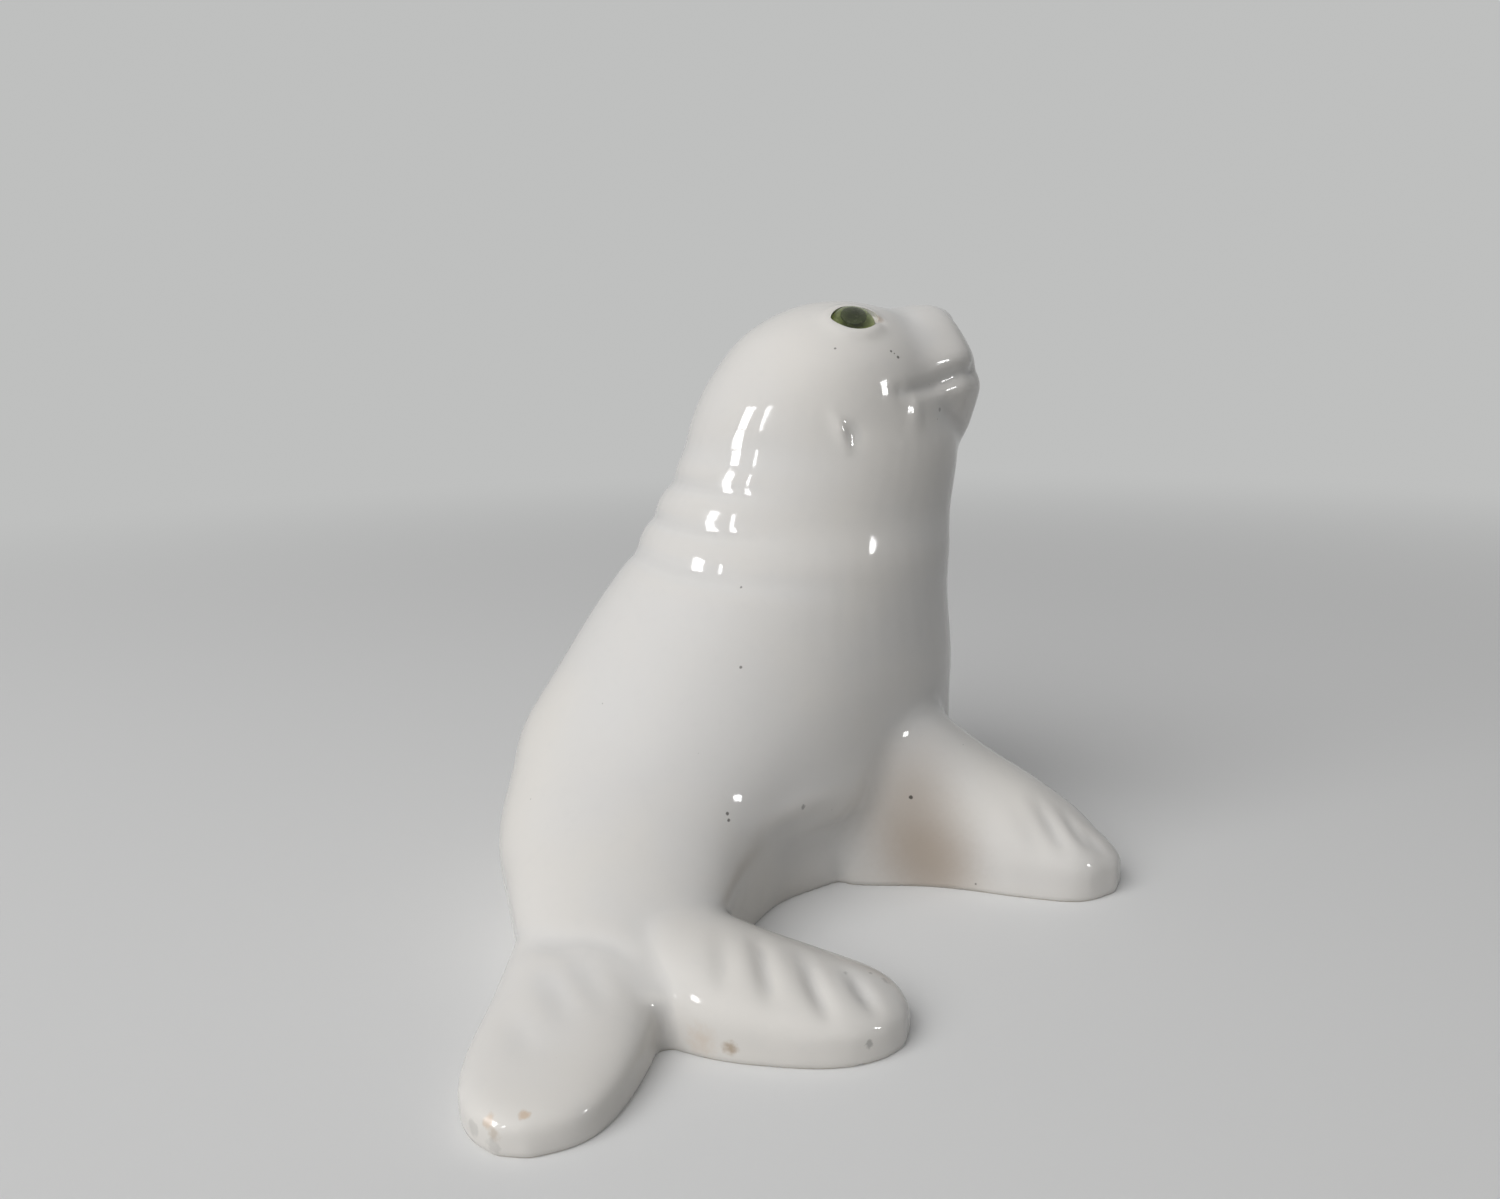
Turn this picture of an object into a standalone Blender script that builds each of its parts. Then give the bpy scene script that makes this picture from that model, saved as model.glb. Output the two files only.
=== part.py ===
"""Glazed ceramic seal figurine with two glass eyes.

Metres, +Z up, head facing -Y, the flat underside on Z = 0. The seal sits on its belly with its head
raised and its tail curled round to its own right. Lengths below are in millimetres.
"""

import math

import bmesh
import bpy
import numpy as np
from mathutils import Matrix, Vector
from mathutils.bvhtree import BVHTree

MM = 0.001

# Piece names
BODY = "seal_body"
LEFT_EYE = "left_eye"
RIGHT_EYE = "right_eye"

# Casting: wall, and the kiln vent through the underside
WALL = 4.5
VENT_DIAMETER = 3.6
VENT_PLACE = (4.0, 8.0)
VENT_OVERRUN = 4.0
VENT_STEPS = 24
FACE_WALL = 6.0

# Glass eyes and their sockets
EYE_DIAMETER = 12.0
EYE_DOME = 3.2
EYE_DEPTH = 3.0
EYE_SINK = 0.6
SOCKET_GAP = 0.3
EYE_OFFSET = 19.0
EYE_Y = -17.8
EYE_TILT = 54.0
EYE_BEARING = 100.0
LID_WIDTH = 4.2
LID_RISE = 0.9
LID_OFFSET = 1.05
ROUND_STEPS = 32
DOME_STEPS = 6
LID_STEPS = 24
ABOVE_HEAD = 400.0

# Grain of the modelled clay
CLAY_GRAIN = 1.4
CAVITY_GRAIN = 4.0
CLAY_SMOOTHING = 6
CAVITY_SMOOTHING = 4
JOIN_SMOOTHING = 70
SMOOTHING_FACTOR = 0.5
RING_POINTS = 48
RINGS_PER_SPAN = 5
BALL_SUBDIVISIONS = 4
BELOW_BASE = 8.0

# Triangles left after thinning out, how far a carved point moves before it is held, and how firmly
BODY_TRIANGLES = 9700
CAVITY_TRIANGLES = 900
DETAIL_MOVE = 0.6
DETAIL_HOLD = 0.0004
BASE_BAND = 0.25
WELD = 0.001

# Stations at the thin ends of the trunk, the rump and the face that the cavity leaves solid
SOLID_CROWN = 3
SOLID_TAIL = 2
SOLID_MUZZLE = 12

# Middle plane of the head
HEAD_X = 4.6

# Trunk slices: height, centre x, centre y, half length, half width, turn to the left in degrees
TRUNK = (
    (-8.0, 7.5, 9.0, 62.0, 38.0, 24.0),
    (0.0, 7.5, 9.0, 64.0, 39.4, 24.0),
    (8.0, 7.5, 9.0, 66.5, 42.0, 24.0),
    (17.0, 7.5, 8.8, 69.8, 45.6, 24.0),
    (25.0, 7.7, 8.5, 72.3, 49.0, 23.0),
    (33.0, 7.8, 8.2, 73.0, 49.6, 22.5),
    (44.0, 7.8, 8.0, 73.0, 49.2, 22.0),
    (58.0, 7.6, 3.8, 64.0, 47.5, 16.0),
    (77.0, 6.8, -1.6, 54.0, 43.5, 10.0),
    (90.6, 5.3, -6.5, 47.8, 39.5, 4.0),
    (101.0, 5.3, -9.6, 44.6, 36.5, 0.0),
    (111.7, HEAD_X, -13.4, 42.3, 34.5, 0.0),
    (120.0, HEAD_X, -16.0, 40.5, 33.5, 0.0),
    (128.0, HEAD_X, -15.7, 37.8, 32.5, 0.0),
    (136.0, HEAD_X, -16.5, 35.0, 31.5, 0.0),
    (144.0, HEAD_X, -18.0, 31.0, 29.5, 0.0),
    (151.0, HEAD_X, -19.1, 25.8, 25.0, 0.0),
    (156.5, HEAD_X, -20.4, 18.4, 18.0, 0.0),
    (159.6, HEAD_X, -20.4, 10.0, 10.0, 0.0),
    (160.6, HEAD_X, -20.4, 3.0, 3.0, 0.0),
)

# Rump stations: x, y, widest height, top height, half width
RUMP = (
    (12.0, 20.0, 30.0, 64.0, 40.0),
    (-4.0, 34.0, 29.0, 64.5, 42.4),
    (-27.0, 49.8, 26.0, 55.0, 37.8),
    (-49.0, 58.5, 20.0, 38.0, 29.0),
    (-69.0, 63.0, 14.0, 26.0, 23.2),
    (-84.0, 64.5, 9.0, 18.0, 19.0),
    (-92.0, 65.5, 6.0, 13.0, 12.0),
)

# Face slices across the facing direction: y, widest height, half width, rise above, drop below
HEAD = (
    (-12.0, 134.0, 26.0, 22.0, 20.0),
    (-26.0, 136.0, 28.0, 22.5, 20.0),
    (-34.0, 138.0, 26.0, 19.6, 20.0),
    (-42.0, 139.0, 23.5, 20.2, 20.0),
    (-50.0, 139.0, 21.5, 20.0, 20.5),
    (-55.0, 138.5, 18.0, 15.2, 18.5),
    (-59.0, 137.0, 14.0, 9.0, 14.5),
    (-61.4, 135.0, 9.0, 5.2, 9.5),
    (-62.4, 134.5, 3.0, 2.5, 4.0),
)

# Rounded masses of the face: side offset, y, z, and the three radii
WHISKER_PAD = (8.6, -45.3, 144.0, 12.5, 12.3, 8.3)
CHIN = (0.0, -49.6, 127.0, 13.8, 13.2, 11.5)
NOSE = (0.0, -50.3, 152.5, 8.0, 7.0, 6.5)

# Flipper stations: x, y, widest height, top height, half width
FRONT_FLIPPER = (
    (-14.0, -14.0, 16.0, 62.0, 21.0),
    (-22.0, -36.0, 12.0, 48.0, 21.0),
    (-32.0, -50.5, 7.0, 34.8, 20.5),
    (-43.0, -61.5, 5.0, 25.8, 18.5),
    (-51.5, -69.0, 4.5, 18.0, 15.5),
    (-56.5, -74.5, 4.5, 12.5, 10.5),
    (-59.5, -77.5, 4.5, 8.0, 3.8),
)
CHEST_CENTRE = (7.5, 0.0)
CHEST_TURN = 14.0
NEAR_HIND_FLIPPER = (
    (-62.0, 69.0, 10.0, 24.0, 18.0),
    (-82.0, 77.0, 6.0, 17.5, 19.0),
    (-98.0, 85.5, 4.0, 12.5, 18.5),
    (-108.0, 91.0, 4.0, 10.0, 15.5),
    (-113.5, 94.0, 4.0, 8.5, 10.5),
    (-117.0, 95.8, 4.0, 6.5, 3.5),
)
FAR_HIND_FLIPPER = (
    (-66.0, 58.0, 10.0, 25.0, 14.0),
    (-82.0, 44.5, 6.5, 20.5, 18.5),
    (-92.5, 30.0, 5.0, 16.0, 18.0),
    (-100.0, 18.0, 4.5, 12.5, 15.0),
    (-104.2, 12.0, 4.5, 9.5, 10.0),
    (-106.5, 8.8, 4.5, 7.0, 3.5),
)

# Places where one lump flows softly into the next: x, y, z, reach
JOIN_WEIGHT = 1.6
JOIN_FALL = 1.2
JOINS = (
    (-22.0, -32.0, 36.0, 27.0),
    (47.0, -15.0, 36.0, 27.0),
    (-16.0, 44.0, 48.0, 40.0),
    (30.0, 50.0, 40.0, 34.0),
    (-24.0, -44.0, 12.0, 15.0),
    (54.0, -22.0, 12.0, 15.0),
    (4.6, -40.0, 116.0, 20.0),
    (-20.0, -31.0, 142.0, 16.0),
    (29.2, -31.0, 142.0, 16.0),
    (4.6, -33.0, 157.0, 12.0),
    (-72.0, 48.0, 14.0, 9.0),
)

# Nape folds: height at the nape, drop towards the throat, reach to each side in degrees, width, depth
NAPE = 90.0
FOLD_STEPS = 6
FOLD_CURVE = 1.4
FOLDS = (
    (112.0, 3.0, 80.0, 5.5, 1.6),
    (102.0, 4.0, 84.0, 5.5, 1.4),
    (92.5, 13.0, 128.0, 6.0, 1.3),
)

# Lines of the face on its right side: offset from the middle plane, y, z
MOUTH_LINE = (
    (22.0, -32.5, 134.0),
    (20.5, -38.8, 135.7),
    (19.0, -43.7, 138.1),
    (17.0, -48.0, 139.9),
    (12.6, -53.0, 140.3),
    (8.0, -57.5, 138.8),
    (0.0, -61.0, 136.7),
)
EAR_LINE = ((31.0, -7.5, 128.0), (31.5, -11.5, 118.5))
EAR_HOLLOW = ((31.0, -12.5, 126.5), (31.5, -15.0, 119.5))
NOSTRIL_LINE = ((2.6, -57.5, 151.5), (4.4, -56.5, 154.0))

# Modelling tool: points per span of its path, and how sharply its mark falls off
STROKE_STEPS = 12
STROKE_SHARPNESS = 2.2

# Strokes of the modelling tool on the face: line, width, height, fading at its ends
FACE_STROKES = (
    (MOUTH_LINE, 3.4, -1.3, False),
    (EAR_LINE, 3.6, 1.2, True),
    (EAR_HOLLOW, 5.0, -0.9, True),
    (NOSTRIL_LINE, 2.4, -1.3, True),
)

# Grooves between the toes: starts and length as shares of the flipper, first and last turn down
# from its top in degrees, width, depth
FRONT_TOES = ((0.46, 0.58, 0.70), 0.16, 5.0, 66.0, 5.0, 1.4)
FAR_HIND_TOES = ((0.26, 0.40, 0.54, 0.67), 0.14, -40.0, 66.0, 5.5, 1.6)
NEAR_HIND_TOES = ((0.30, 0.45, 0.60), 0.14, -40.0, 66.0, 5.5, 0.8)
TOE_STEPS = 4
HIND_SQUARENESS = 0.8


def clear_scene():
    """Remove every object that the file already holds."""
    for item in list(bpy.data.objects):
        bpy.data.objects.remove(item, do_unlink=True)


def smooth_rows(rows, steps):
    """Return rows interpolated by a Catmull-Rom curve, with steps rows in each span."""
    table = np.array(rows, dtype=float)
    padded = np.vstack([2 * table[0] - table[1], table, 2 * table[-1] - table[-2]])
    result = []
    for index in range(len(table) - 1):
        before, start, end, after = padded[index:index + 4]
        for step in range(steps):
            t = step / steps
            curve = 2 * start + (end - before) * t
            curve = curve + (2 * before - 5 * start + 4 * end - after) * t ** 2
            curve = curve + (3 * start - before - 3 * end + after) * t ** 3
            result.append(curve / 2)
    result.append(table[-1])
    return result


def add_loft(bm, rings):
    """Skin closed rings of points into one closed surface with capped ends."""
    rows = [[bm.verts.new(point) for point in ring] for ring in rings]
    count = len(rows[0])
    for lower, upper in zip(rows, rows[1:]):
        for index in range(count):
            following = (index + 1) % count
            bm.faces.new((lower[index], lower[following], upper[following], upper[index]))
    bm.faces.new(list(reversed(rows[0])))
    bm.faces.new(rows[-1])


def slice_point(row, degrees, inset=0.0):
    """Return the point at a bearing on one level slice: 0 is the left side, 90 the nape."""
    height, centre_x, centre_y, half_length, half_width, turn = row
    angle = math.radians(turn)
    side = (half_width - inset) * math.cos(math.radians(degrees))
    along = (half_length - inset) * math.sin(math.radians(degrees))
    x = centre_x + side * math.cos(angle) - along * math.sin(angle)
    y = centre_y + side * math.sin(angle) + along * math.cos(angle)
    return Vector((x, y, height))


def slice_ring(row, inset):
    """Return the points of one level slice through the trunk, drawn in by inset."""
    return [slice_point(row, 360.0 * index / RING_POINTS, inset) for index in range(RING_POINTS)]


def trunk_point(height, degrees):
    """Return the point of the trunk at any height and bearing."""
    table = np.array(TRUNK)
    row = [np.interp(height, table[:, 0], table[:, column]) for column in range(table.shape[1])]
    return slice_point(row, degrees)


def arch_point(table, place, degrees, inset=0.0, squareness=1.0):
    """Return a point of a lump that lies along the ground: 0 is its left side, 90 its top."""
    index = min(int(place), len(table) - 1)
    x, y, belly, top, half_width = table[index]
    before = table[max(index - 1, 0)]
    after = table[min(index + 1, len(table) - 1)]
    direction = Vector((after[0] - before[0], after[1] - before[1], 0.0)).normalized()
    side = Vector((-direction.y, direction.x, 0.0))
    level = math.cos(math.radians(degrees))
    lift = math.sin(math.radians(degrees))
    reach = math.copysign(abs(level) ** squareness, level)
    rise = (top - belly if lift > 0 else belly + BELOW_BASE) - inset
    spot = side * (half_width - inset) * reach
    height = belly + rise * math.copysign(abs(lift) ** squareness, lift)
    return Vector((x + spot.x, y + spot.y, height))


def arch_rings(rows, inset=0.0, squareness=1.0):
    """Return upright rings along a path, each wide low down and rounded over its top."""
    table = smooth_rows(rows, RINGS_PER_SPAN)
    turns = [360.0 * step / RING_POINTS for step in range(RING_POINTS)]
    places = range(len(table))
    return [[arch_point(table, place, turn, inset, squareness) for turn in turns] for place in places]


def head_rings(inset):
    """Return the upright rings of the face, from inside the skull to the front of the muzzle."""
    rings = []
    for y, middle, half_width, rise, drop in smooth_rows(HEAD, RINGS_PER_SPAN):
        points = []
        for step in range(RING_POINTS):
            around = 2 * math.pi * step / RING_POINTS
            x = HEAD_X + (half_width - inset) * math.cos(around)
            reach = rise if math.sin(around) > 0 else drop
            points.append((x, y, middle + (reach - inset) * math.sin(around)))
        rings.append(points)
    return rings


def mirror_row(row):
    """Return a right front flipper station mirrored about the chest's own middle plane."""
    angle = math.radians(CHEST_TURN)
    across = Vector((math.cos(angle), math.sin(angle)))
    offset = Vector((row[0] - CHEST_CENTRE[0], row[1] - CHEST_CENTRE[1]))
    mirrored = offset - 2 * offset.dot(across) * across
    return (CHEST_CENTRE[0] + mirrored.x, CHEST_CENTRE[1] + mirrored.y) + tuple(row[2:])


def add_ball(bm, mass, side):
    """Add one rounded mass of the face."""
    offset, y, z, radius_x, radius_y, radius_z = mass
    made = bmesh.ops.create_icosphere(bm, subdivisions=BALL_SUBDIVISIONS, radius=1.0)
    bmesh.ops.scale(bm, vec=(radius_x, radius_y, radius_z), verts=made["verts"])
    bmesh.ops.translate(bm, vec=(HEAD_X + side * offset, y, z), verts=made["verts"])


def new_object(name, bm):
    """Make an object from a bmesh that is drawn in millimetres."""
    mesh = bpy.data.meshes.new(name)
    bmesh.ops.scale(bm, vec=(MM, MM, MM), verts=bm.verts)
    bmesh.ops.recalc_face_normals(bm, faces=bm.faces)
    bm.to_mesh(mesh)
    bm.free()
    item = bpy.data.objects.new(name, mesh)
    bpy.context.collection.objects.link(item)
    return item


def bake_modifiers(item):
    """Turn an object's evaluated shape into its own mesh."""
    graph = bpy.context.evaluated_depsgraph_get()
    mesh = bpy.data.meshes.new_from_object(item.evaluated_get(graph))
    item.modifiers.clear()
    item.data = mesh


def fuse(item, grain, rounds):
    """Fuse overlapping lumps into one skin and soften it."""
    remesh = item.modifiers.new("fuse", "REMESH")
    remesh.mode = "VOXEL"
    remesh.voxel_size = grain * MM
    soften = item.modifiers.new("soften", "SMOOTH")
    soften.factor = SMOOTHING_FACTOR
    soften.iterations = rounds
    bake_modifiers(item)


def vertex_array(mesh, what):
    """Read the vertex places, in millimetres, or the vertex normals as rows of three."""
    values = np.empty(len(mesh.vertices) * 3, dtype=np.float32)
    if what == "places":
        mesh.vertices.foreach_get("co", values)
        return values.reshape(-1, 3).astype(float) / MM
    mesh.vertex_normals.foreach_get("vector", values)
    return values.reshape(-1, 3).astype(float)


def soften_joins(item):
    """Let each lump flow into the next where they meet."""
    places = vertex_array(item.data, "places")
    weights = np.zeros(len(places))
    for x, y, z, reach in JOINS:
        distance = np.linalg.norm(places - np.array((x, y, z)), axis=1)
        weight = np.clip(JOIN_WEIGHT - JOIN_FALL * distance / reach, 0.0, 1.0)
        weights = np.maximum(weights, weight)
    group = item.vertex_groups.new(name="joins")
    for index in np.nonzero(weights > 0.0)[0]:
        group.add([int(index)], float(weights[index]), "REPLACE")
    soften = item.modifiers.new("soften", "SMOOTH")
    soften.factor = SMOOTHING_FACTOR
    soften.iterations = JOIN_SMOOTHING
    soften.vertex_group = group.name
    bake_modifiers(item)
    item.vertex_groups.clear()


def skin_tree(item):
    """Return a search tree of the surface, in millimetres."""
    bm = bmesh.new()
    bm.from_mesh(item.data)
    bmesh.ops.scale(bm, vec=(1 / MM, 1 / MM, 1 / MM), verts=bm.verts)
    tree = BVHTree.FromBMesh(bm)
    bm.free()
    return tree


def stroke(item, tree, path, width, height, fade=True):
    """Press a line into the surface, or raise it, along a path laid onto the skin."""
    line = smooth_rows([tuple(point) for point in path], STROKE_STEPS)
    samples = np.array([tree.find_nearest(Vector(point))[0] for point in line])
    along = np.linspace(0.0, 1.0, len(samples))
    strength = np.sin(np.pi * along) ** 2 if fade else np.ones(len(samples))
    places = vertex_array(item.data, "places")
    normals = vertex_array(item.data, "normals")
    above = np.all(places > samples.min(axis=0) - 2 * width, axis=1)
    below = np.all(places < samples.max(axis=0) + 2 * width, axis=1)
    chosen = np.nonzero(above & below)[0]
    gaps = np.linalg.norm(places[chosen, None, :] - samples[None, :, :], axis=2)
    nearest = gaps.argmin(axis=1)
    profile = np.exp(-(STROKE_SHARPNESS * gaps.min(axis=1) / width) ** 2) * strength[nearest]
    places[chosen] += normals[chosen] * (height * profile)[:, None]
    item.data.vertices.foreach_set("co", (places * MM).astype(np.float32).ravel())
    item.data.update()


def face_path(line, side):
    """Return a line of the face on one side of the head: -1 is its right, 1 its left."""
    return [(HEAD_X + side * offset, y, z) for offset, y, z in line]


def fold_path(height, drop, reach):
    """Return the line of one fold round the nape."""
    path = []
    for step in range(-FOLD_STEPS, FOLD_STEPS + 1):
        share = step / FOLD_STEPS
        path.append(trunk_point(height - drop * abs(share) ** FOLD_CURVE, NAPE - reach * share))
    return path


def carve_toes(item, tree, rows, outer_side, toes, squareness=1.0):
    """Press the grooves between the toes, from a flipper's back down to its outer edge."""
    starts, length, first, last, width, depth = toes
    table = smooth_rows(rows, RINGS_PER_SPAN)
    end = len(table) - 1
    for start in starts:
        path = []
        for step in range(TOE_STEPS + 1):
            share = step / TOE_STEPS
            degrees = 90.0 - outer_side * (first + (last - first) * share)
            path.append(arch_point(table, end * (start + length * share), degrees, 0.0, squareness))
        stroke(item, tree, path, width, -depth)


def carve_details(item):
    """Carve the folds, the face and the flippers."""
    tree = skin_tree(item)
    for height, drop, reach, width, depth in FOLDS:
        stroke(item, tree, fold_path(height, drop, reach), width, -depth)
    for line, width, height, fade in FACE_STROKES:
        for side in (-1, 1):
            stroke(item, tree, face_path(line, side), width, height, fade)
    carve_toes(item, tree, FRONT_FLIPPER, -1, FRONT_TOES)
    carve_toes(item, tree, [mirror_row(row) for row in FRONT_FLIPPER], 1, FRONT_TOES)
    carve_toes(item, tree, FAR_HIND_FLIPPER, -1, FAR_HIND_TOES, HIND_SQUARENESS)
    carve_toes(item, tree, NEAR_HIND_FLIPPER, 1, NEAR_HIND_TOES, HIND_SQUARENESS)


def cut_base(item, height):
    """Cut everything below a height away and close the cut with a flat face."""
    bm = bmesh.new()
    bm.from_mesh(item.data)
    geometry = bm.verts[:] + bm.edges[:] + bm.faces[:]
    level = (0.0, 0.0, height * MM)
    bmesh.ops.bisect_plane(bm, geom=geometry, plane_co=level, plane_no=(0, 0, -1), clear_outer=True)
    rim = [edge for edge in bm.edges if edge.is_boundary]
    bmesh.ops.contextual_create(bm, geom=rim)
    bmesh.ops.triangulate(bm, faces=bm.faces[:])
    bm.to_mesh(item.data)
    bm.free()


def mark_plain(item, before):
    """Put the skin that the carving left alone into a group that may be thinned out more."""
    moved = np.linalg.norm(vertex_array(item.data, "places") - before, axis=1)
    plain = np.clip(1.0 - moved / DETAIL_MOVE, 0.0, 1.0)
    group = item.vertex_groups.new(name="plain")
    for index in np.nonzero(plain > 0.0)[0]:
        group.add([int(index)], float(plain[index]), "REPLACE")


def thin_out(item, triangles, height):
    """Reduce a mesh to a number of triangles and keep its underside flat."""
    item.data.calc_loop_triangles()
    thin = item.modifiers.new("thin", "DECIMATE")
    thin.ratio = triangles / len(item.data.loop_triangles)
    if item.vertex_groups:
        thin.vertex_group = item.vertex_groups[0].name
        thin.vertex_group_factor = DETAIL_HOLD
    bake_modifiers(item)
    item.vertex_groups.clear()
    for vertex in item.data.vertices:
        if abs(vertex.co.z - height * MM) < BASE_BAND * MM:
            vertex.co.z = height * MM


def eye_frame(item, side):
    """Return the place and facing of one eye, on the skin of the head."""
    tree = skin_tree(item)
    hit = tree.ray_cast(Vector((HEAD_X + side * EYE_OFFSET, EYE_Y, ABOVE_HEAD)), Vector((0, 0, -1)))[0]
    tilt = math.radians(EYE_TILT)
    bearing = math.radians(EYE_BEARING)
    level = Vector((side * math.sin(bearing), -math.cos(bearing), 0.0))
    facing = level * math.cos(tilt) + Vector((0, 0, math.sin(tilt)))
    turn = facing.to_track_quat("Z", "Y").to_matrix().to_4x4()
    return Matrix.Translation(hit) @ turn


def turned_solid(name, profile, frame):
    """Spin a profile of radius and height about a frame's own axis."""
    bm = bmesh.new()
    points = [bm.verts.new((radius, 0.0, height)) for radius, height in profile]
    edges = [bm.edges.new(pair) for pair in zip(points, points[1:])]
    bmesh.ops.spin(bm, geom=points + edges, cent=(0, 0, 0), axis=(0, 0, 1), angle=2 * math.pi,
                   steps=ROUND_STEPS, use_duplicate=False)
    bmesh.ops.remove_doubles(bm, verts=bm.verts, dist=WELD)
    bm.transform(frame)
    return new_object(name, bm)


def eye_profile():
    """Return the outline of a glass eye: flat back, straight rim and shallow dome."""
    radius = EYE_DIAMETER / 2
    curve = (radius ** 2 + EYE_DOME ** 2) / (2 * EYE_DOME)
    outline = [(0.0, -EYE_DEPTH - EYE_SINK), (radius, -EYE_DEPTH - EYE_SINK)]
    for step in range(DOME_STEPS + 1):
        across = radius * (1 - step / DOME_STEPS)
        outline.append((across, math.sqrt(curve ** 2 - across ** 2) - curve + EYE_DOME - EYE_SINK))
    return outline


def socket_profile():
    """Return the outline of the recess that an eye sits in, open well above the skin."""
    radius = EYE_DIAMETER / 2 + SOCKET_GAP
    floor = -EYE_DEPTH - EYE_SINK - SOCKET_GAP
    return [(0.0, floor), (radius, floor), (radius, EYE_DIAMETER), (0.0, EYE_DIAMETER)]


def raise_lids(item, frame):
    """Raise the skin round one eye."""
    radius = EYE_DIAMETER / 2 + SOCKET_GAP + LID_OFFSET
    ring = []
    for step in range(LID_STEPS + 1):
        around = 2 * math.pi * step / LID_STEPS
        ring.append(frame @ Vector((radius * math.cos(around), radius * math.sin(around), 0.0)))
    stroke(item, skin_tree(item), ring, LID_WIDTH, LID_RISE, False)


def subtract(item, cutter):
    """Cut one solid out of another."""
    cutter.hide_render = True
    cutter.display_type = "WIRE"
    cut = item.modifiers.new("cut " + cutter.name, "BOOLEAN")
    cut.operation = "DIFFERENCE"
    cut.solver = "EXACT"
    cut.object = cutter


def model_cavity():
    """Build the space inside the casting, one wall's thickness in from the outside."""
    bm = bmesh.new()
    trunk = smooth_rows(TRUNK[:-SOLID_CROWN], RINGS_PER_SPAN)
    add_loft(bm, [slice_ring(row, WALL) for row in trunk])
    add_loft(bm, arch_rings(RUMP[:-SOLID_TAIL], WALL))
    add_loft(bm, head_rings(FACE_WALL)[:-SOLID_MUZZLE])
    cavity = new_object("cavity", bm)
    fuse(cavity, CAVITY_GRAIN, CAVITY_SMOOTHING)
    cut_base(cavity, WALL)
    thin_out(cavity, CAVITY_TRIANGLES, WALL)
    return cavity


def model_vent():
    """Build the round hole that lets air out of the casting in the kiln."""
    bm = bmesh.new()
    bmesh.ops.create_cone(bm, cap_ends=True, segments=VENT_STEPS, radius1=VENT_DIAMETER / 2,
                          radius2=VENT_DIAMETER / 2, depth=WALL + VENT_OVERRUN)
    bmesh.ops.translate(bm, vec=(VENT_PLACE[0], VENT_PLACE[1], WALL / 2), verts=bm.verts)
    return new_object("vent", bm)


def model_clay():
    """Build the outside of the seal from its lofted lumps."""
    bm = bmesh.new()
    add_loft(bm, [slice_ring(row, 0.0) for row in smooth_rows(TRUNK, RINGS_PER_SPAN)])
    add_loft(bm, arch_rings(RUMP))
    add_loft(bm, head_rings(0.0))
    for side in (-1, 1):
        add_ball(bm, WHISKER_PAD, side)
    add_ball(bm, CHIN, 0)
    add_ball(bm, NOSE, 0)
    add_loft(bm, arch_rings(FRONT_FLIPPER))
    add_loft(bm, arch_rings([mirror_row(row) for row in FRONT_FLIPPER]))
    add_loft(bm, arch_rings(NEAR_HIND_FLIPPER, 0.0, HIND_SQUARENESS))
    add_loft(bm, arch_rings(FAR_HIND_FLIPPER, 0.0, HIND_SQUARENESS))
    clay = new_object(BODY, bm)
    fuse(clay, CLAY_GRAIN, CLAY_SMOOTHING)
    soften_joins(clay)
    return clay


def new_material(name, colour, roughness, transmission=0.0):
    """Make one plain finish."""
    material = bpy.data.materials.new(name)
    material.use_nodes = True
    shader = material.node_tree.nodes["Principled BSDF"]
    shader.inputs["Base Color"].default_value = (*colour, 1.0)
    shader.inputs["Roughness"].default_value = roughness
    shader.inputs["Transmission Weight"].default_value = transmission
    return material


def finish(item, material):
    """Give a piece its finish and smooth shading."""
    item.data.materials.clear()
    item.data.materials.append(material)
    item.data.shade_smooth()
    item.data.set_sharp_from_angle(angle=math.radians(40.0))


def main():
    """Build the figurine."""
    clear_scene()
    glaze = new_material("white glaze", (0.80, 0.79, 0.76), 0.08)
    glass = new_material("green glass", (0.05, 0.06, 0.03), 0.05)
    seal = model_clay()
    plain_skin = vertex_array(seal.data, "places")
    frames = {LEFT_EYE: eye_frame(seal, 1), RIGHT_EYE: eye_frame(seal, -1)}
    for frame in frames.values():
        raise_lids(seal, frame)
    carve_details(seal)
    mark_plain(seal, plain_skin)
    cut_base(seal, 0.0)
    thin_out(seal, BODY_TRIANGLES, 0.0)
    subtract(seal, model_cavity())
    subtract(seal, model_vent())
    for name, frame in frames.items():
        finish(turned_solid(name, eye_profile(), frame), glass)
        subtract(seal, turned_solid(name + "_socket", socket_profile(), frame))
    finish(seal, glaze)


main()
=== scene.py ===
"""Visual model of a glossy white ceramic seal with green glass eyes, on a plain studio floor.

Sizes are in millimetres unless a name says otherwise. The head faces -Y and the seal's own right
side is towards -X. The casting is modelled lump by lump, fused into one skin, sculpted and cut.
"""
import logging
import math
from dataclasses import dataclass, replace
from enum import Enum
from typing import Iterable, Sequence

import bmesh
import bpy
import numpy as np
from mathutils import Matrix, Vector, noise
from mathutils.bvhtree import BVHTree


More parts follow.
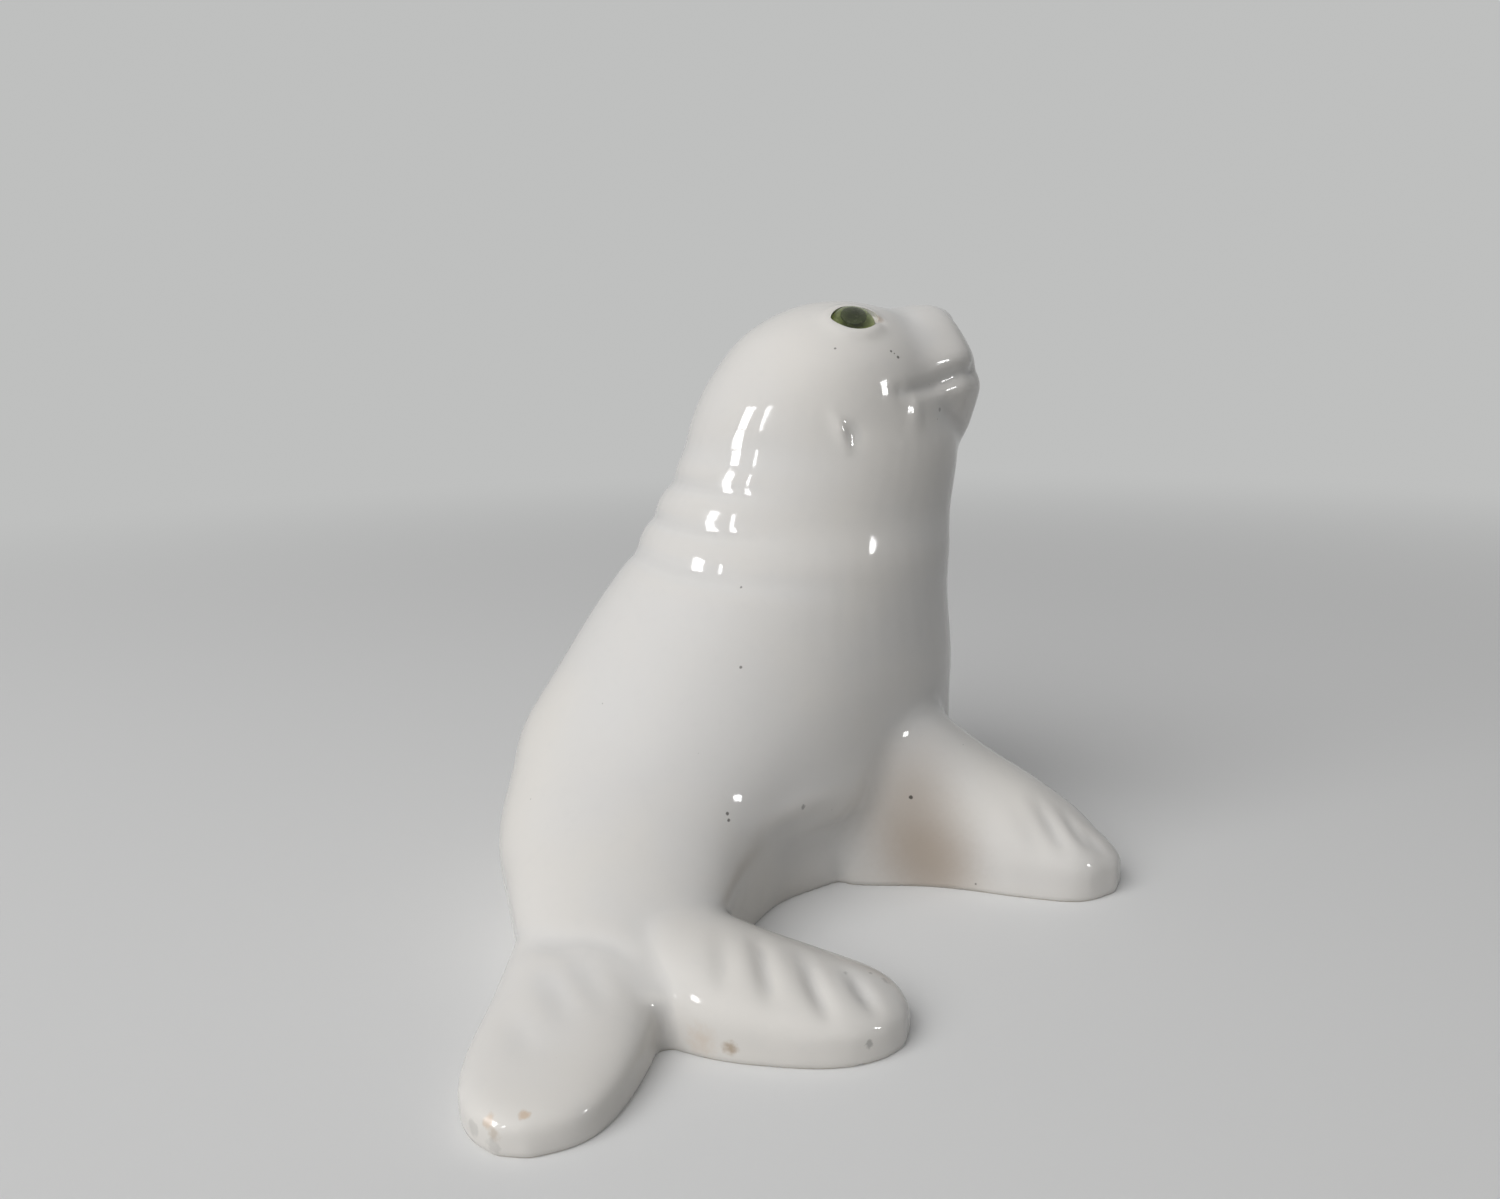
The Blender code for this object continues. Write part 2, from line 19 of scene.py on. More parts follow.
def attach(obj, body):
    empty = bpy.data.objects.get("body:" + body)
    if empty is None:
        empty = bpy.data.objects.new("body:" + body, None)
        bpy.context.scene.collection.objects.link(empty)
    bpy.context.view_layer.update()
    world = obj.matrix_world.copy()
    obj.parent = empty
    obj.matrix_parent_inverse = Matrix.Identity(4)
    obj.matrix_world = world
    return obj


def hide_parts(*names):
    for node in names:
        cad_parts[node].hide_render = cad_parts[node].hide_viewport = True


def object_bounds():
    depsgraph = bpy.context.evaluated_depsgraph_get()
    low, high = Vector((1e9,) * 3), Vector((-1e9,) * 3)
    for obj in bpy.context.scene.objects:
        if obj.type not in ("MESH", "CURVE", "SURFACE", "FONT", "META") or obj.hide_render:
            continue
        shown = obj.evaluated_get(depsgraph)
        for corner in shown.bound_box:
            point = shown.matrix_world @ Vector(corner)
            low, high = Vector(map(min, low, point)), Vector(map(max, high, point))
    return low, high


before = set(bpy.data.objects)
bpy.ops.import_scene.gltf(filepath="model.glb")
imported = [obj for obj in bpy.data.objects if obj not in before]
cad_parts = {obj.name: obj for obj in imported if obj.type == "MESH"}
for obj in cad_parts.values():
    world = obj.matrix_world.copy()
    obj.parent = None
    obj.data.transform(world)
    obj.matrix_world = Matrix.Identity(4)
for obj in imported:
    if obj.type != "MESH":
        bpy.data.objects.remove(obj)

LOG = logging.getLogger("seal_figurine")

Item = bpy.types.Object
Socket = bpy.types.NodeSocket
Point = tuple[float, float, float]
Colour = tuple[float, float, float]
Row = tuple[float, ...]

CAD_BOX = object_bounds()
ROOT = "root"
MM = 0.001

# Middle planes of the head and of the chest
HEAD_X = 4.6
CHEST_CENTRE = (7.5, 0.0)
CHEST_TURN = 14.0
NAPE = 90.0

# Grain of the modelling
RING_POINTS = 48
RINGS_PER_SPAN = 5
SPHERE_SUBDIVISIONS = 4
STROKE_STEPS = 20
STROKE_SHARPNESS = 2.2
LATE_FADE = 5.0
LATE_FADE_POWER = 1.5
BELOW_BASE = 30.0
BACK_TOLERANCE = 0.05


class Ends(Enum):
    """How a stroke of the modelling tool starts and stops."""

    FULL = "full"
    FADING = "fading"
    FADING_LATE = "fading late"


class Side(Enum):
    """One side of the seal."""

    RIGHT = -1
    LEFT = 1


def deselect_all() -> None:
    """Leave object mode with nothing selected."""
    if bpy.context.object and bpy.context.object.mode != "OBJECT":
        bpy.ops.object.mode_set(mode="OBJECT")
    bpy.ops.object.select_all(action="DESELECT")


def choose(*items: Item) -> None:
    """Select only these objects and make the first one active.

    Args:
        items: The objects.
    """
    deselect_all()
    for item in items:
        item.select_set(True)
    bpy.context.view_layer.objects.active = items[0]


def apply_modifier(item: Item, kind: str, **values: object) -> None:
    """Add one modifier with its values and apply it.

    Args:
        item: The object.
        kind: The modifier's type.
        values: The modifier's settings.
    """
    choose(item)
    modifier = item.modifiers.new(kind.lower(), kind)
    for name, value in values.items():
        setattr(modifier, name, value)
    bpy.ops.object.modifier_apply(modifier=modifier.name)


def combine(item: Item, other: Item, operation: str) -> None:
    """Unite a shape with another one or cut that out of it, and throw the other one away.

    Args:
        item: The shape that stays.
        other: The shape that is used up.
        operation: UNION or DIFFERENCE.
    """
    apply_modifier(item, "BOOLEAN", operation=operation, solver="EXACT", object=other)
    bpy.data.objects.remove(other, do_unlink=True)


def join(lumps: Sequence[Item]) -> Item:
    """Join overlapping lumps into the first one."""
    choose(*lumps)
    bpy.ops.object.join()
    return lumps[0]


def start_disc(name: str, sides: int, radius: float, height: float = 0.0) -> Item:
    """Add a level disc round the Z axis and open it for editing.

    Args:
        name: The disc's name.
        sides: Points of its rim.
        radius: Its radius, in metres.
        height: Its height, in metres.

    Returns:
        The disc, in edit mode.
    """
    deselect_all()
    bpy.ops.mesh.primitive_circle_add(vertices=sides, radius=radius, fill_type="NGON",
                                      location=(0.0, 0.0, height))
    item = bpy.context.object
    item.name = name
    item.data.name = name
    bpy.ops.object.mode_set(mode="EDIT")
    return item


def close_shape() -> None:
    """Turn the normals of the edited shape outwards and leave edit mode."""
    bpy.ops.mesh.select_all(action="SELECT")
    bpy.ops.mesh.normals_make_consistent(inside=False)
    bpy.ops.object.mode_set(mode="OBJECT")


def add_to_scene(name: str, data: bpy.types.ID) -> Item:
    """Add a lamp or camera to the scene."""
    item = bpy.data.objects.new(name, data)
    bpy.context.scene.collection.objects.link(item)
    return item


def mirrored_place(x: float, y: float) -> tuple[float, float]:
    """Return a place mirrored across the chest's middle plane."""
    angle = math.radians(CHEST_TURN)
    across = Vector((math.cos(angle), math.sin(angle)))
    offset = Vector((x - CHEST_CENTRE[0], y - CHEST_CENTRE[1]))
    moved = offset - 2 * offset.dot(across) * across
    return CHEST_CENTRE[0] + moved.x, CHEST_CENTRE[1] + moved.y


def smooth_rows(rows: Sequence[Row], steps: int) -> np.ndarray:
    """Interpolate rows by a smooth curve.

    Args:
        rows: The rows that the curve passes through.
        steps: Rows in each span.

    Returns:
        One row of numbers for each step.
    """
    table = np.array(rows, dtype=float)
    padded = np.vstack([2 * table[0] - table[1], table, 2 * table[-1] - table[-2]])
    result = []
    for before, start, end, after in zip(padded, padded[1:], padded[2:], padded[3:]):
        for step in range(steps):
            t = step / steps
            curve = 2 * start + (end - before) * t
            curve = curve + (2 * before - 5 * start + 4 * end - after) * t ** 2
            curve = curve + (3 * start - before - 3 * end + after) * t ** 3
            result.append(curve / 2)
    result.append(table[-1])
    return np.array(result)


def turns() -> np.ndarray:
    """Return the angles of a ring's points, in radians."""
    return np.linspace(0.0, 2 * math.pi, RING_POINTS, endpoint=False)


def bent(values: np.ndarray, power: float) -> np.ndarray:
    """Raise values to a power and keep their signs."""
    return np.sign(values) * np.abs(values) ** power


def loft(name: str, rings: np.ndarray) -> Item:
    """Extrude one outline through all the rings of a lump.

    Args:
        name: The lump's name.
        rings: Points of each ring, in millimetres.

    Returns:
        The closed lump.
    """
    item = start_disc(name, RING_POINTS, 1.0)
    bm = bmesh.from_edit_mesh(item.data)
    bm.verts.ensure_lookup_table()
    by_angle = sorted(bm.verts, key=lambda vert: math.atan2(vert.co.y, vert.co.x) % (2 * math.pi))
    places = {}
    for index, vert in enumerate(by_angle):
        vert.co = Vector(rings[0][index]) * MM
        places[tuple(vert.co)] = index
    for ring in rings[1:]:
        bpy.ops.mesh.extrude_region()
        bm = bmesh.from_edit_mesh(item.data)
        following = {}
        for vert in bm.verts:
            if vert.select:
                index = places[tuple(vert.co)]
                vert.co = Vector(ring[index]) * MM
                following[tuple(vert.co)] = index
        places = following
    close_shape()
    return item


@dataclass(frozen=True)
class StandingLump:
    """A lump of level slices: height, centre x, centre y, half length, half width, turn in degrees."""

    slices: tuple[Row, ...]

    def ring(self, row: np.ndarray, inset: float = 0.0) -> np.ndarray:
        """Return the points of one slice, drawn in by an inset."""
        height, centre_x, centre_y, half_length, half_width, turn = row
        angle = math.radians(turn)
        side = (half_width - inset) * np.cos(turns())
        along = (half_length - inset) * np.sin(turns())
        x = centre_x + side * math.cos(angle) - along * math.sin(angle)
        y = centre_y + side * math.sin(angle) + along * math.cos(angle)
        return np.stack([x, y, np.full(RING_POINTS, height)], axis=1)

    def point(self, height: float, bearing: float) -> Point:
        """Return the place on the surface at a height and a bearing: 0 is the left side, 90 the nape."""
        table = np.array(self.slices)
        row = [np.interp(height, table[:, 0], table[:, column]) for column in range(table.shape[1])]
        _, centre_x, centre_y, half_length, half_width, turn = row
        angle = math.radians(turn)
        side = half_width * math.cos(math.radians(bearing))
        along = half_length * math.sin(math.radians(bearing))
        return (centre_x + side * math.cos(angle) - along * math.sin(angle),
                centre_y + side * math.sin(angle) + along * math.cos(angle), height)

    def rings(self, inset: float = 0.0, skip: int = 0) -> np.ndarray:
        """Return all the rings, drawn in by an inset and without the last stations."""
        rows = smooth_rows(self.slices[:len(self.slices) - skip], RINGS_PER_SPAN)
        return np.array([self.ring(row, inset) for row in rows])


@dataclass(frozen=True)
class LyingLump:
    """A lump along the ground: x, y, widest height, top height and half width of each station."""

    stations: tuple[Row, ...]
    squareness: float = 1.0
    tip_crown: float = 1.0

    def rings(self, inset: float = 0.0, skip: int = 0) -> np.ndarray:
        """Return upright rings along the lump.

        Args:
            inset: How far the rings are drawn in.
            skip: Stations left out at the thin end.

        Returns:
            The points of each ring.
        """
        rows = smooth_rows(self.stations[:len(self.stations) - skip], RINGS_PER_SPAN)
        rings = []
        for place, (x, y, widest, top, half_width) in enumerate(rows):
            ahead = rows[min(place + 1, len(rows) - 1)]
            behind = rows[max(place - 1, 0)]
            direction = np.array([ahead[0] - behind[0], ahead[1] - behind[1]])
            direction = direction / np.linalg.norm(direction)
            crown = 1.0 + (self.tip_crown - 1.0) * place / (len(rows) - 1)
            reach = (half_width - inset) * bent(np.cos(turns()), self.squareness)
            lift = np.sin(turns())
            rise = np.where(lift > 0, top - widest, widest + BELOW_BASE) - inset
            power = np.where(lift > 0, self.squareness * crown, 1.0)
            height = widest + rise * np.sign(lift) * np.abs(lift) ** power
            rings.append(np.stack([x - direction[1] * reach, y + direction[0] * reach, height], axis=1))
        return np.array(rings)

    def mirrored(self) -> "LyingLump":
        """Return the same lump on the other side of the chest."""
        rows = tuple(mirrored_place(row[0], row[1]) + tuple(row[2:]) for row in self.stations)
        return replace(self, stations=rows)


@dataclass(frozen=True)
class FaceLump:
    """Upright slices of the face: y, widest height, half width, rise above and drop below."""

    slices: tuple[Row, ...]

    def rings(self, inset: float = 0.0, skip: int = 0) -> np.ndarray:
        """Return the rings from inside the skull to the front, drawn in and cut short."""
        rings = []
        for y, middle, half_width, rise, drop in smooth_rows(self.slices, RINGS_PER_SPAN):
            reach = np.where(np.sin(turns()) > 0, rise, drop) - inset
            x = HEAD_X + (half_width - inset) * np.cos(turns())
            rings.append(np.stack([x, np.full(RING_POINTS, y), middle + reach * np.sin(turns())], axis=1))
        return np.array(rings[:len(rings) - skip])


@dataclass(frozen=True)
class RoundMass:
    """A rounded mass of the face: distance from the middle plane, y, z and the three radii."""

    offset: float
    y: float
    z: float
    radii: Point

    def build(self, name: str, side: Side) -> Item:
        """Add the mass on one side of the face.

        Args:
            name: The lump's name.
            side: The side of the face.

        Returns:
            The lump.
        """
        deselect_all()
        place = Vector((HEAD_X + side.value * self.offset, self.y, self.z)) * MM
        bpy.ops.mesh.primitive_ico_sphere_add(subdivisions=SPHERE_SUBDIVISIONS, radius=MM, location=place)
        item = bpy.context.object
        item.name = name
        bpy.ops.object.mode_set(mode="EDIT")
        bpy.ops.transform.resize(value=self.radii, center_override=place)
        bpy.ops.object.mode_set(mode="OBJECT")
        bpy.ops.object.transform_apply(location=True, rotation=False, scale=False)
        return item


@dataclass(frozen=True)
class Stroke:
    """One stroke of the modelling tool: its line, width, height above the skin and ends."""

    line: tuple[Point, ...]
    width: float
    height: float
    ends: Ends = Ends.FADING

    def on_face(self, side: Side) -> "Stroke":
        """Return the stroke with its line read as distance from the head's middle plane, y and z."""
        return replace(self, line=tuple((HEAD_X + side.value * offset, y, z) for offset, y, z in self.line))

    def across_chest(self) -> "Stroke":
        """Return the stroke on the other side of the chest."""
        return replace(self, line=tuple((*mirrored_place(x, y), z) for x, y, z in self.line))


class Skin:
    """The surface of a piece while it is sculpted."""

    def __init__(self, item: Item) -> None:
        """Remember the piece and the surface that strokes are laid onto.

        Args:
            item: The piece.
        """
        self.item = item
        bm = bmesh.new()
        bm.from_mesh(item.data)
        bmesh.ops.scale(bm, vec=(1 / MM, 1 / MM, 1 / MM), verts=bm.verts)
        self.tree = BVHTree.FromBMesh(bm)
        bm.free()

    def places(self) -> np.ndarray:
        """Return the vertex places in millimetres."""
        values = np.empty(len(self.item.data.vertices) * 3, dtype=np.float32)
        self.item.data.vertices.foreach_get("co", values)
        return values.reshape(-1, 3).astype(float) / MM

    def normals(self) -> np.ndarray:
        """Return the vertex normals."""
        values = np.empty(len(self.item.data.vertices) * 3, dtype=np.float32)
        self.item.data.vertex_normals.foreach_get("vector", values)
        return values.reshape(-1, 3).astype(float)

    def place(self, places: np.ndarray) -> None:
        """Move the vertices to new places in millimetres."""
        self.item.data.vertices.foreach_set("co", (places * MM).astype(np.float32).ravel())
        self.item.data.update()

    def neighbours(self) -> tuple[np.ndarray, np.ndarray]:
        """Return both ends of every edge, in both directions."""
        ends = np.empty(len(self.item.data.edges) * 2, dtype=np.int32)
        self.item.data.edges.foreach_get("vertices", ends)
        ends = ends.reshape(-1, 2)
        return np.concatenate([ends[:, 0], ends[:, 1]]), np.concatenate([ends[:, 1], ends[:, 0]])

    def averaged(self, values: np.ndarray, rounds: int) -> np.ndarray:
        """Average values with those of the neighbouring vertices.

        Args:
            values: One row for each vertex.
            rounds: How many times.

        Returns:
            The averaged rows.
        """
        here, there = self.neighbours()
        count = np.maximum(np.bincount(here, minlength=len(values)), 1)[:, None]
        for _ in range(rounds):
            total = np.stack([np.bincount(here, values[there, column], len(values))
                              for column in range(values.shape[1])], axis=1)
            values = (values + total / count) / 2
        return values

    def stroke(self, mark: Stroke) -> None:
        """Raise or press the skin along a line.

        Args:
            mark: The stroke.
        """
        line = smooth_rows(mark.line, STROKE_STEPS)
        samples = np.array([self.tree.find_nearest(Vector(point))[0] for point in line])
        along = np.linspace(0.0, 1.0, len(samples))
        strength = {
            Ends.FULL: np.ones(len(samples)),
            Ends.FADING: np.sin(np.pi * along) ** 2,
            Ends.FADING_LATE: np.clip(np.minimum(along, 1 - along) * LATE_FADE, 0, 1) ** LATE_FADE_POWER,
        }[mark.ends]
        places = self.places()
        margin = 2 * mark.width
        inside = (places > samples.min(axis=0) - margin) & (places < samples.max(axis=0) + margin)
        chosen = np.nonzero(np.all(inside, axis=1))[0]
        gaps = np.linalg.norm(places[chosen, None, :] - samples[None, :, :], axis=2)
        profile = np.exp(-(STROKE_SHARPNESS * gaps.min(axis=1) / mark.width) ** 2)
        lift = mark.height * profile * strength[gaps.argmin(axis=1)]
        places[chosen] += self.normals()[chosen] * lift[:, None]
        self.place(places)


@dataclass
class SealBody:
    """The slip cast seal: one closed skin with two eye sockets, a cavity and a kiln vent."""

    name: str = "seal_casting"
    node: str = "seal_body"
    grain: float = 1.05
    quick_grain: float = 1.8
    smoothing: float = 5.5
    join_smoothing: float = 130.0
    broad_smoothing: float = 420.0
    wall: float = 4.5
    face_wall: float = 6.0
    cavity_grain: float = 3.0
    cavity_smoothing: int = 5
    cavity_skips: tuple[int, int, int] = (3, 2, 12)
    vent_diameter: float = 3.6
    vent_place: tuple[float, float] = (4.0, 8.0)
    vent_depth: float = 8.5
    foot_radius: float = 1.1
    flat_foot: float = 0.01
    cut_threshold: float = 0.001
    crease_angle: float = 40.0
    join_strength: float = 1.6
    join_fall: float = 1.2
    unevenness: float = 0.12
    unevenness_length: float = 22.0
    relief_rounds: int = 30
    relief_softening: int = 3
    relief_range: float = 0.16

    trunk: StandingLump = StandingLump((
        (-8.0, 7.5, 9.0, 62.0, 38.0, 24.0),
        (0.0, 7.5, 9.0, 64.0, 39.4, 24.0),
        (8.0, 7.5, 9.0, 66.5, 42.0, 24.0),
        (17.0, 7.5, 8.8, 69.8, 45.6, 24.0),
        (25.0, 7.7, 8.5, 72.3, 49.0, 23.0),
        (33.0, 7.8, 8.2, 73.0, 49.6, 22.5),
        (44.0, 7.8, 8.0, 73.0, 49.2, 22.0),
        (58.0, 7.6, 3.8, 64.0, 47.5, 16.0),
        (77.0, 6.8, -1.6, 54.0, 43.5, 10.0),
        (90.6, 5.3, -6.5, 47.8, 39.5, 4.0),
        (101.0, 5.3, -9.6, 44.6, 36.5, 0.0),
        (111.7, HEAD_X, -13.4, 42.3, 34.5, 0.0),
        (120.0, HEAD_X, -16.0, 40.5, 33.5, 0.0),
        (128.0, HEAD_X, -15.7, 37.8, 32.5, 0.0),
        (136.0, HEAD_X, -16.5, 35.0, 31.5, 0.0),
        (144.0, HEAD_X, -18.0, 31.0, 29.5, 0.0),
        (151.0, HEAD_X, -19.1, 25.8, 25.0, 0.0),
        (156.5, HEAD_X, -20.4, 18.4, 18.0, 0.0),
        (159.6, HEAD_X, -20.4, 10.0, 10.0, 0.0),
        (160.6, HEAD_X, -20.4, 3.0, 3.0, 0.0),
    ))
    rump: LyingLump = LyingLump((
        (12.0, 20.0, 30.0, 64.0, 40.0),
        (-4.0, 34.0, 29.0, 64.5, 42.4),
        (-27.0, 49.8, 26.0, 55.0, 37.8),
        (-49.0, 58.5, 20.0, 38.0, 29.0),
        (-69.0, 63.0, 14.0, 26.0, 23.2),
        (-84.0, 64.5, 9.0, 18.0, 19.0),
        (-92.0, 65.5, 6.0, 13.0, 12.0),
    ))
    face: FaceLump = FaceLump((
        (-12.0, 134.0, 26.0, 22.0, 20.0),
        (-26.0, 136.0, 28.0, 22.5, 20.0),
        (-34.0, 138.0, 26.0, 19.6, 20.0),
        (-42.0, 139.0, 23.5, 20.2, 20.0),
        (-50.0, 139.0, 21.5, 20.0, 20.5),
        (-55.0, 138.5, 18.0, 15.2, 18.5),
        (-59.0, 137.0, 14.0, 9.0, 14.5),
        (-61.4, 135.0, 9.0, 5.2, 9.5),
        (-62.4, 134.5, 3.0, 2.5, 4.0),
    ))
    whisker_pad: RoundMass = RoundMass(8.6, -45.3, 144.0, (12.5, 12.3, 8.3))
    chin: RoundMass = RoundMass(0.0, -49.6, 127.0, (13.8, 13.2, 11.5))
    nose: RoundMass = RoundMass(0.0, -50.3, 152.5, (8.0, 7.0, 6.5))
    front_flipper: LyingLump = LyingLump((
        (-14.0, -14.0, 16.0, 62.0, 21.0),
        (-22.0, -36.0, 12.0, 48.0, 21.0),
        (-32.0, -50.5, 9.0, 34.8, 20.2),
        (-43.0, -61.5, 8.5, 25.8, 18.2),
        (-51.5, -69.0, 8.0, 18.0, 15.2),
        (-56.5, -74.5, 7.0, 12.5, 10.0),
        (-59.5, -77.5, 6.0, 8.5, 3.8),
    ), 0.95, 1.25)
    near_hind_flipper: LyingLump = LyingLump((
        (-62.0, 69.0, 10.0, 24.0, 18.0),
        (-82.0, 77.0, 7.0, 17.5, 19.0),
        (-98.0, 85.5, 6.0, 12.5, 18.0),
        (-108.0, 91.0, 5.5, 10.0, 15.0),
        (-113.5, 94.0, 5.0, 8.5, 10.2),
        (-117.0, 95.8, 4.5, 6.5, 3.5),
    ), 0.85, 1.2)
    far_hind_flipper: LyingLump = LyingLump((
        (-66.0, 58.0, 10.0, 25.0, 14.0),
        (-82.0, 44.5, 7.5, 20.5, 18.0),
        (-92.5, 30.0, 6.5, 16.0, 17.5),
        (-100.0, 18.0, 6.5, 12.5, 14.6),
        (-104.2, 12.0, 6.0, 9.8, 9.8),
        (-106.5, 8.8, 5.0, 7.0, 3.5),
    ), 0.9, 1.25)
    joins: tuple[Row, ...] = (
        (-22.0, -32.0, 36.0, 27.0),
        (47.0, -15.0, 36.0, 27.0),
        (-16.0, 44.0, 48.0, 40.0),
        (30.0, 50.0, 40.0, 34.0),
        (-24.0, -44.0, 12.0, 15.0),
        (54.0, -22.0, 12.0, 15.0),
        (4.6, -40.0, 116.0, 20.0),
        (4.6, -54.0, 118.0, 18.0),
        (-34.0, -15.0, 4.0, 14.0),
        (51.0, 6.0, 4.0, 14.0),
        (-20.0, -31.0, 142.0, 16.0),
        (29.2, -31.0, 142.0, 16.0),
        (4.6, -33.0, 157.0, 12.0),
        (-72.0, 48.0, 14.0, 9.0),
    )
    broad_joins: tuple[Row, ...] = (
        (-12.0, 62.0, 52.0, 30.0),
        (-40.0, 22.0, 44.0, 24.0),
        (28.0, 62.0, 48.0, 30.0),
        (44.0, 30.0, 40.0, 26.0),
        (-41.0, -27.0, 6.0, 15.0),
        (62.0, -1.0, 6.0, 15.0),
        (-40.0, 14.0, 4.0, 16.0),
        (38.0, 56.0, 4.0, 22.0),
    )
    folds: tuple[Row, ...] = (
        (112.0, 3.0, 78.0, 6.2, -1.2),
        (102.0, 4.0, 82.0, 6.2, -1.05),
        (92.5, 13.0, 128.0, 7.5, -0.85),
    )
    face_strokes: tuple[Stroke, ...] = (
        Stroke(((25.5, -34.0, 142.0), (23.2, -41.0, 143.2), (20.6, -47.5, 143.8), (16.2, -53.0, 144.2),
                (10.0, -57.0, 144.5)), 10.0, 1.2),
        Stroke(((28.0, -30.0, 132.4), (25.0, -38.0, 133.2), (21.8, -45.0, 135.0), (17.0, -51.8, 136.0),
                (11.0, -57.0, 135.6), (0.0, -61.5, 134.0)), 6.5, 0.8),
        Stroke(((30.4, -24.5, 136.2), (29.0, -29.4, 135.9), (26.4, -34.2, 136.5), (23.7, -39.2, 137.1),
                (21.5, -44.2, 138.8), (19.6, -48.7, 140.2), (16.5, -52.5, 140.2), (12.6, -55.5, 139.8),
                (8.0, -58.5, 138.8)), 4.8, -1.5, Ends.FADING_LATE),
        Stroke(((30.0, -28.0, 131.4), (29.2, -32.0, 130.6), (27.4, -36.0, 130.4)), 11.0, 0.7),
        Stroke(((29.9, -25.4, 138.6), (29.9, -26.6, 136.0), (30.2, -28.0, 132.5)), 4.0, -0.5),
        Stroke(((30.6, -6.0, 133.5), (31.7, -8.0, 128.3), (33.2, -9.4, 123.6), (33.4, -11.6, 119.0)),
               3.8, 1.1),
        Stroke(((32.0, -10.4, 130.0), (32.8, -12.4, 125.4), (33.0, -14.6, 120.0)), 7.0, -0.45),
        Stroke(((21.4, -21.8, 155.8), (21.0, -24.4, 155.6), (20.4, -27.6, 155.0)), 3.4, -1.2),
        Stroke(((2.6, -57.5, 151.5), (4.4, -56.5, 154.0)), 2.4, -1.4),
    )
    front_toes: tuple[Stroke, ...] = (
        Stroke(((-44.0, -49.0, 29.0), (-53.1, -53.0, 18.4), (-59.0, -54.8, 10.6)), 7.0, -0.5),
        Stroke(((-44.0, -56.5, 27.0), (-54.2, -59.2, 17.9), (-61.8, -60.6, 10.0)), 6.0, -1.05),
        Stroke(((-45.5, -65.5, 23.5), (-55.8, -66.7, 16.5), (-62.0, -69.4, 9.4)), 6.0, -0.95),
        Stroke(((-51.5, -69.3, 18.2), (-57.5, -70.7, 13.7), (-61.2, -73.0, 9.0)), 5.5, -0.7),
    )
    hind_strokes: tuple[Stroke, ...] = (
        Stroke(((-79.0, 42.5, 21.0), (-92.9, 46.3, 18.0), (-101.0, 48.5, 13.2)), 6.5, -0.8),
        Stroke(((-79.0, 34.5, 18.6), (-96.0, 37.8, 15.7), (-107.0, 38.9, 10.8)), 5.6, -1.2),
        Stroke(((-85.5, 26.8, 16.2), (-102.5, 28.5, 13.3), (-112.2, 27.4, 8.0)), 5.2, -1.4),
        Stroke(((-93.0, 18.8, 13.2), (-103.3, 18.6, 10.7), (-110.8, 17.6, 7.4)), 5.0, -1.2),
        Stroke(((-75.0, 77.4, 19.4), (-86.9, 74.4, 16.4), (-98.0, 71.0, 12.6)), 7.0, -0.5),
        Stroke(((-74.5, 84.4, 17.8), (-87.8, 81.9, 15.3), (-100.0, 79.0, 11.4)), 7.0, -0.5),
        Stroke(((-81.0, 92.8, 13.4), (-95.3, 90.7, 12.2), (-105.0, 88.0, 9.8)), 7.0, -0.4),
        Stroke(((-66.0, 90.0, 15.0), (-68.4, 85.9, 17.6), (-73.0, 79.3, 19.9), (-77.1, 72.4, 20.4),
                (-82.2, 66.3, 18.8), (-89.8, 60.9, 14.5), (-93.3, 59.1, 10.2)), 7.0, -0.9),
        Stroke(((-58.0, 33.0, 21.0), (-50.3, 23.4, 27.5), (-44.6, 13.2, 29.6), (-42.7, 4.1, 30.8),
                (-39.7, -5.7, 30.6), (-36.4, -18.0, 29.0)), 8.0, 0.8),
    )
    belly_hollow: Stroke = Stroke(((-46.0, 30.0, 12.0), (-42.0, 16.0, 14.0), (-39.5, 2.0, 15.0),
                                   (-37.0, -12.0, 14.0), (-35.0, -22.0, 12.0)), 24.0, -3.6)
    fold_points: int = 13
    fold_sag_power: float = 1.4
    lid_points: int = 25
    lid_width: float = 5.0
    lid_rise: float = 0.7
    lid_offset: float = 0.2
    lower_lid_rise: float = 0.25
    lower_lid_spread: float = 80.0

    def all_strokes(self) -> Iterable[Stroke]:
        """Yield every stroke of the sculpting."""
        for height, drop, reach, width, depth in self.folds:
            line = [self.trunk.point(height - drop * abs(share) ** self.fold_sag_power, NAPE - reach * share)
                    for share in np.linspace(-1.0, 1.0, self.fold_points)]
            yield Stroke(tuple(line), width, depth)
        for mark in self.face_strokes:
            for side in Side:
                yield mark.on_face(side)
        for mark in self.front_toes:
            yield mark
            yield mark.across_chest()
        yield from self.hind_strokes

    def model_masses(self) -> Item:
        """Model the seal's lumps and join them.

        Returns:
            One object that holds all the overlapping lumps.
        """
        item = join([
            loft("trunk", self.trunk.rings()),
            loft("rump", self.rump.rings()),
            loft("face", self.face.rings()),
            loft("right_flipper", self.front_flipper.rings()),
            loft("left_flipper", self.front_flipper.mirrored().rings()),
            loft("near_flipper", self.near_hind_flipper.rings()),
            loft("far_flipper", self.far_hind_flipper.rings()),
            self.whisker_pad.build("right_pad", Side.RIGHT),
            self.whisker_pad.build("left_pad", Side.LEFT),
            self.chin.build("chin", Side.RIGHT),
            self.nose.build("nose", Side.RIGHT),
        ])
        item.name = self.name
        item.data.name = self.name
        return item

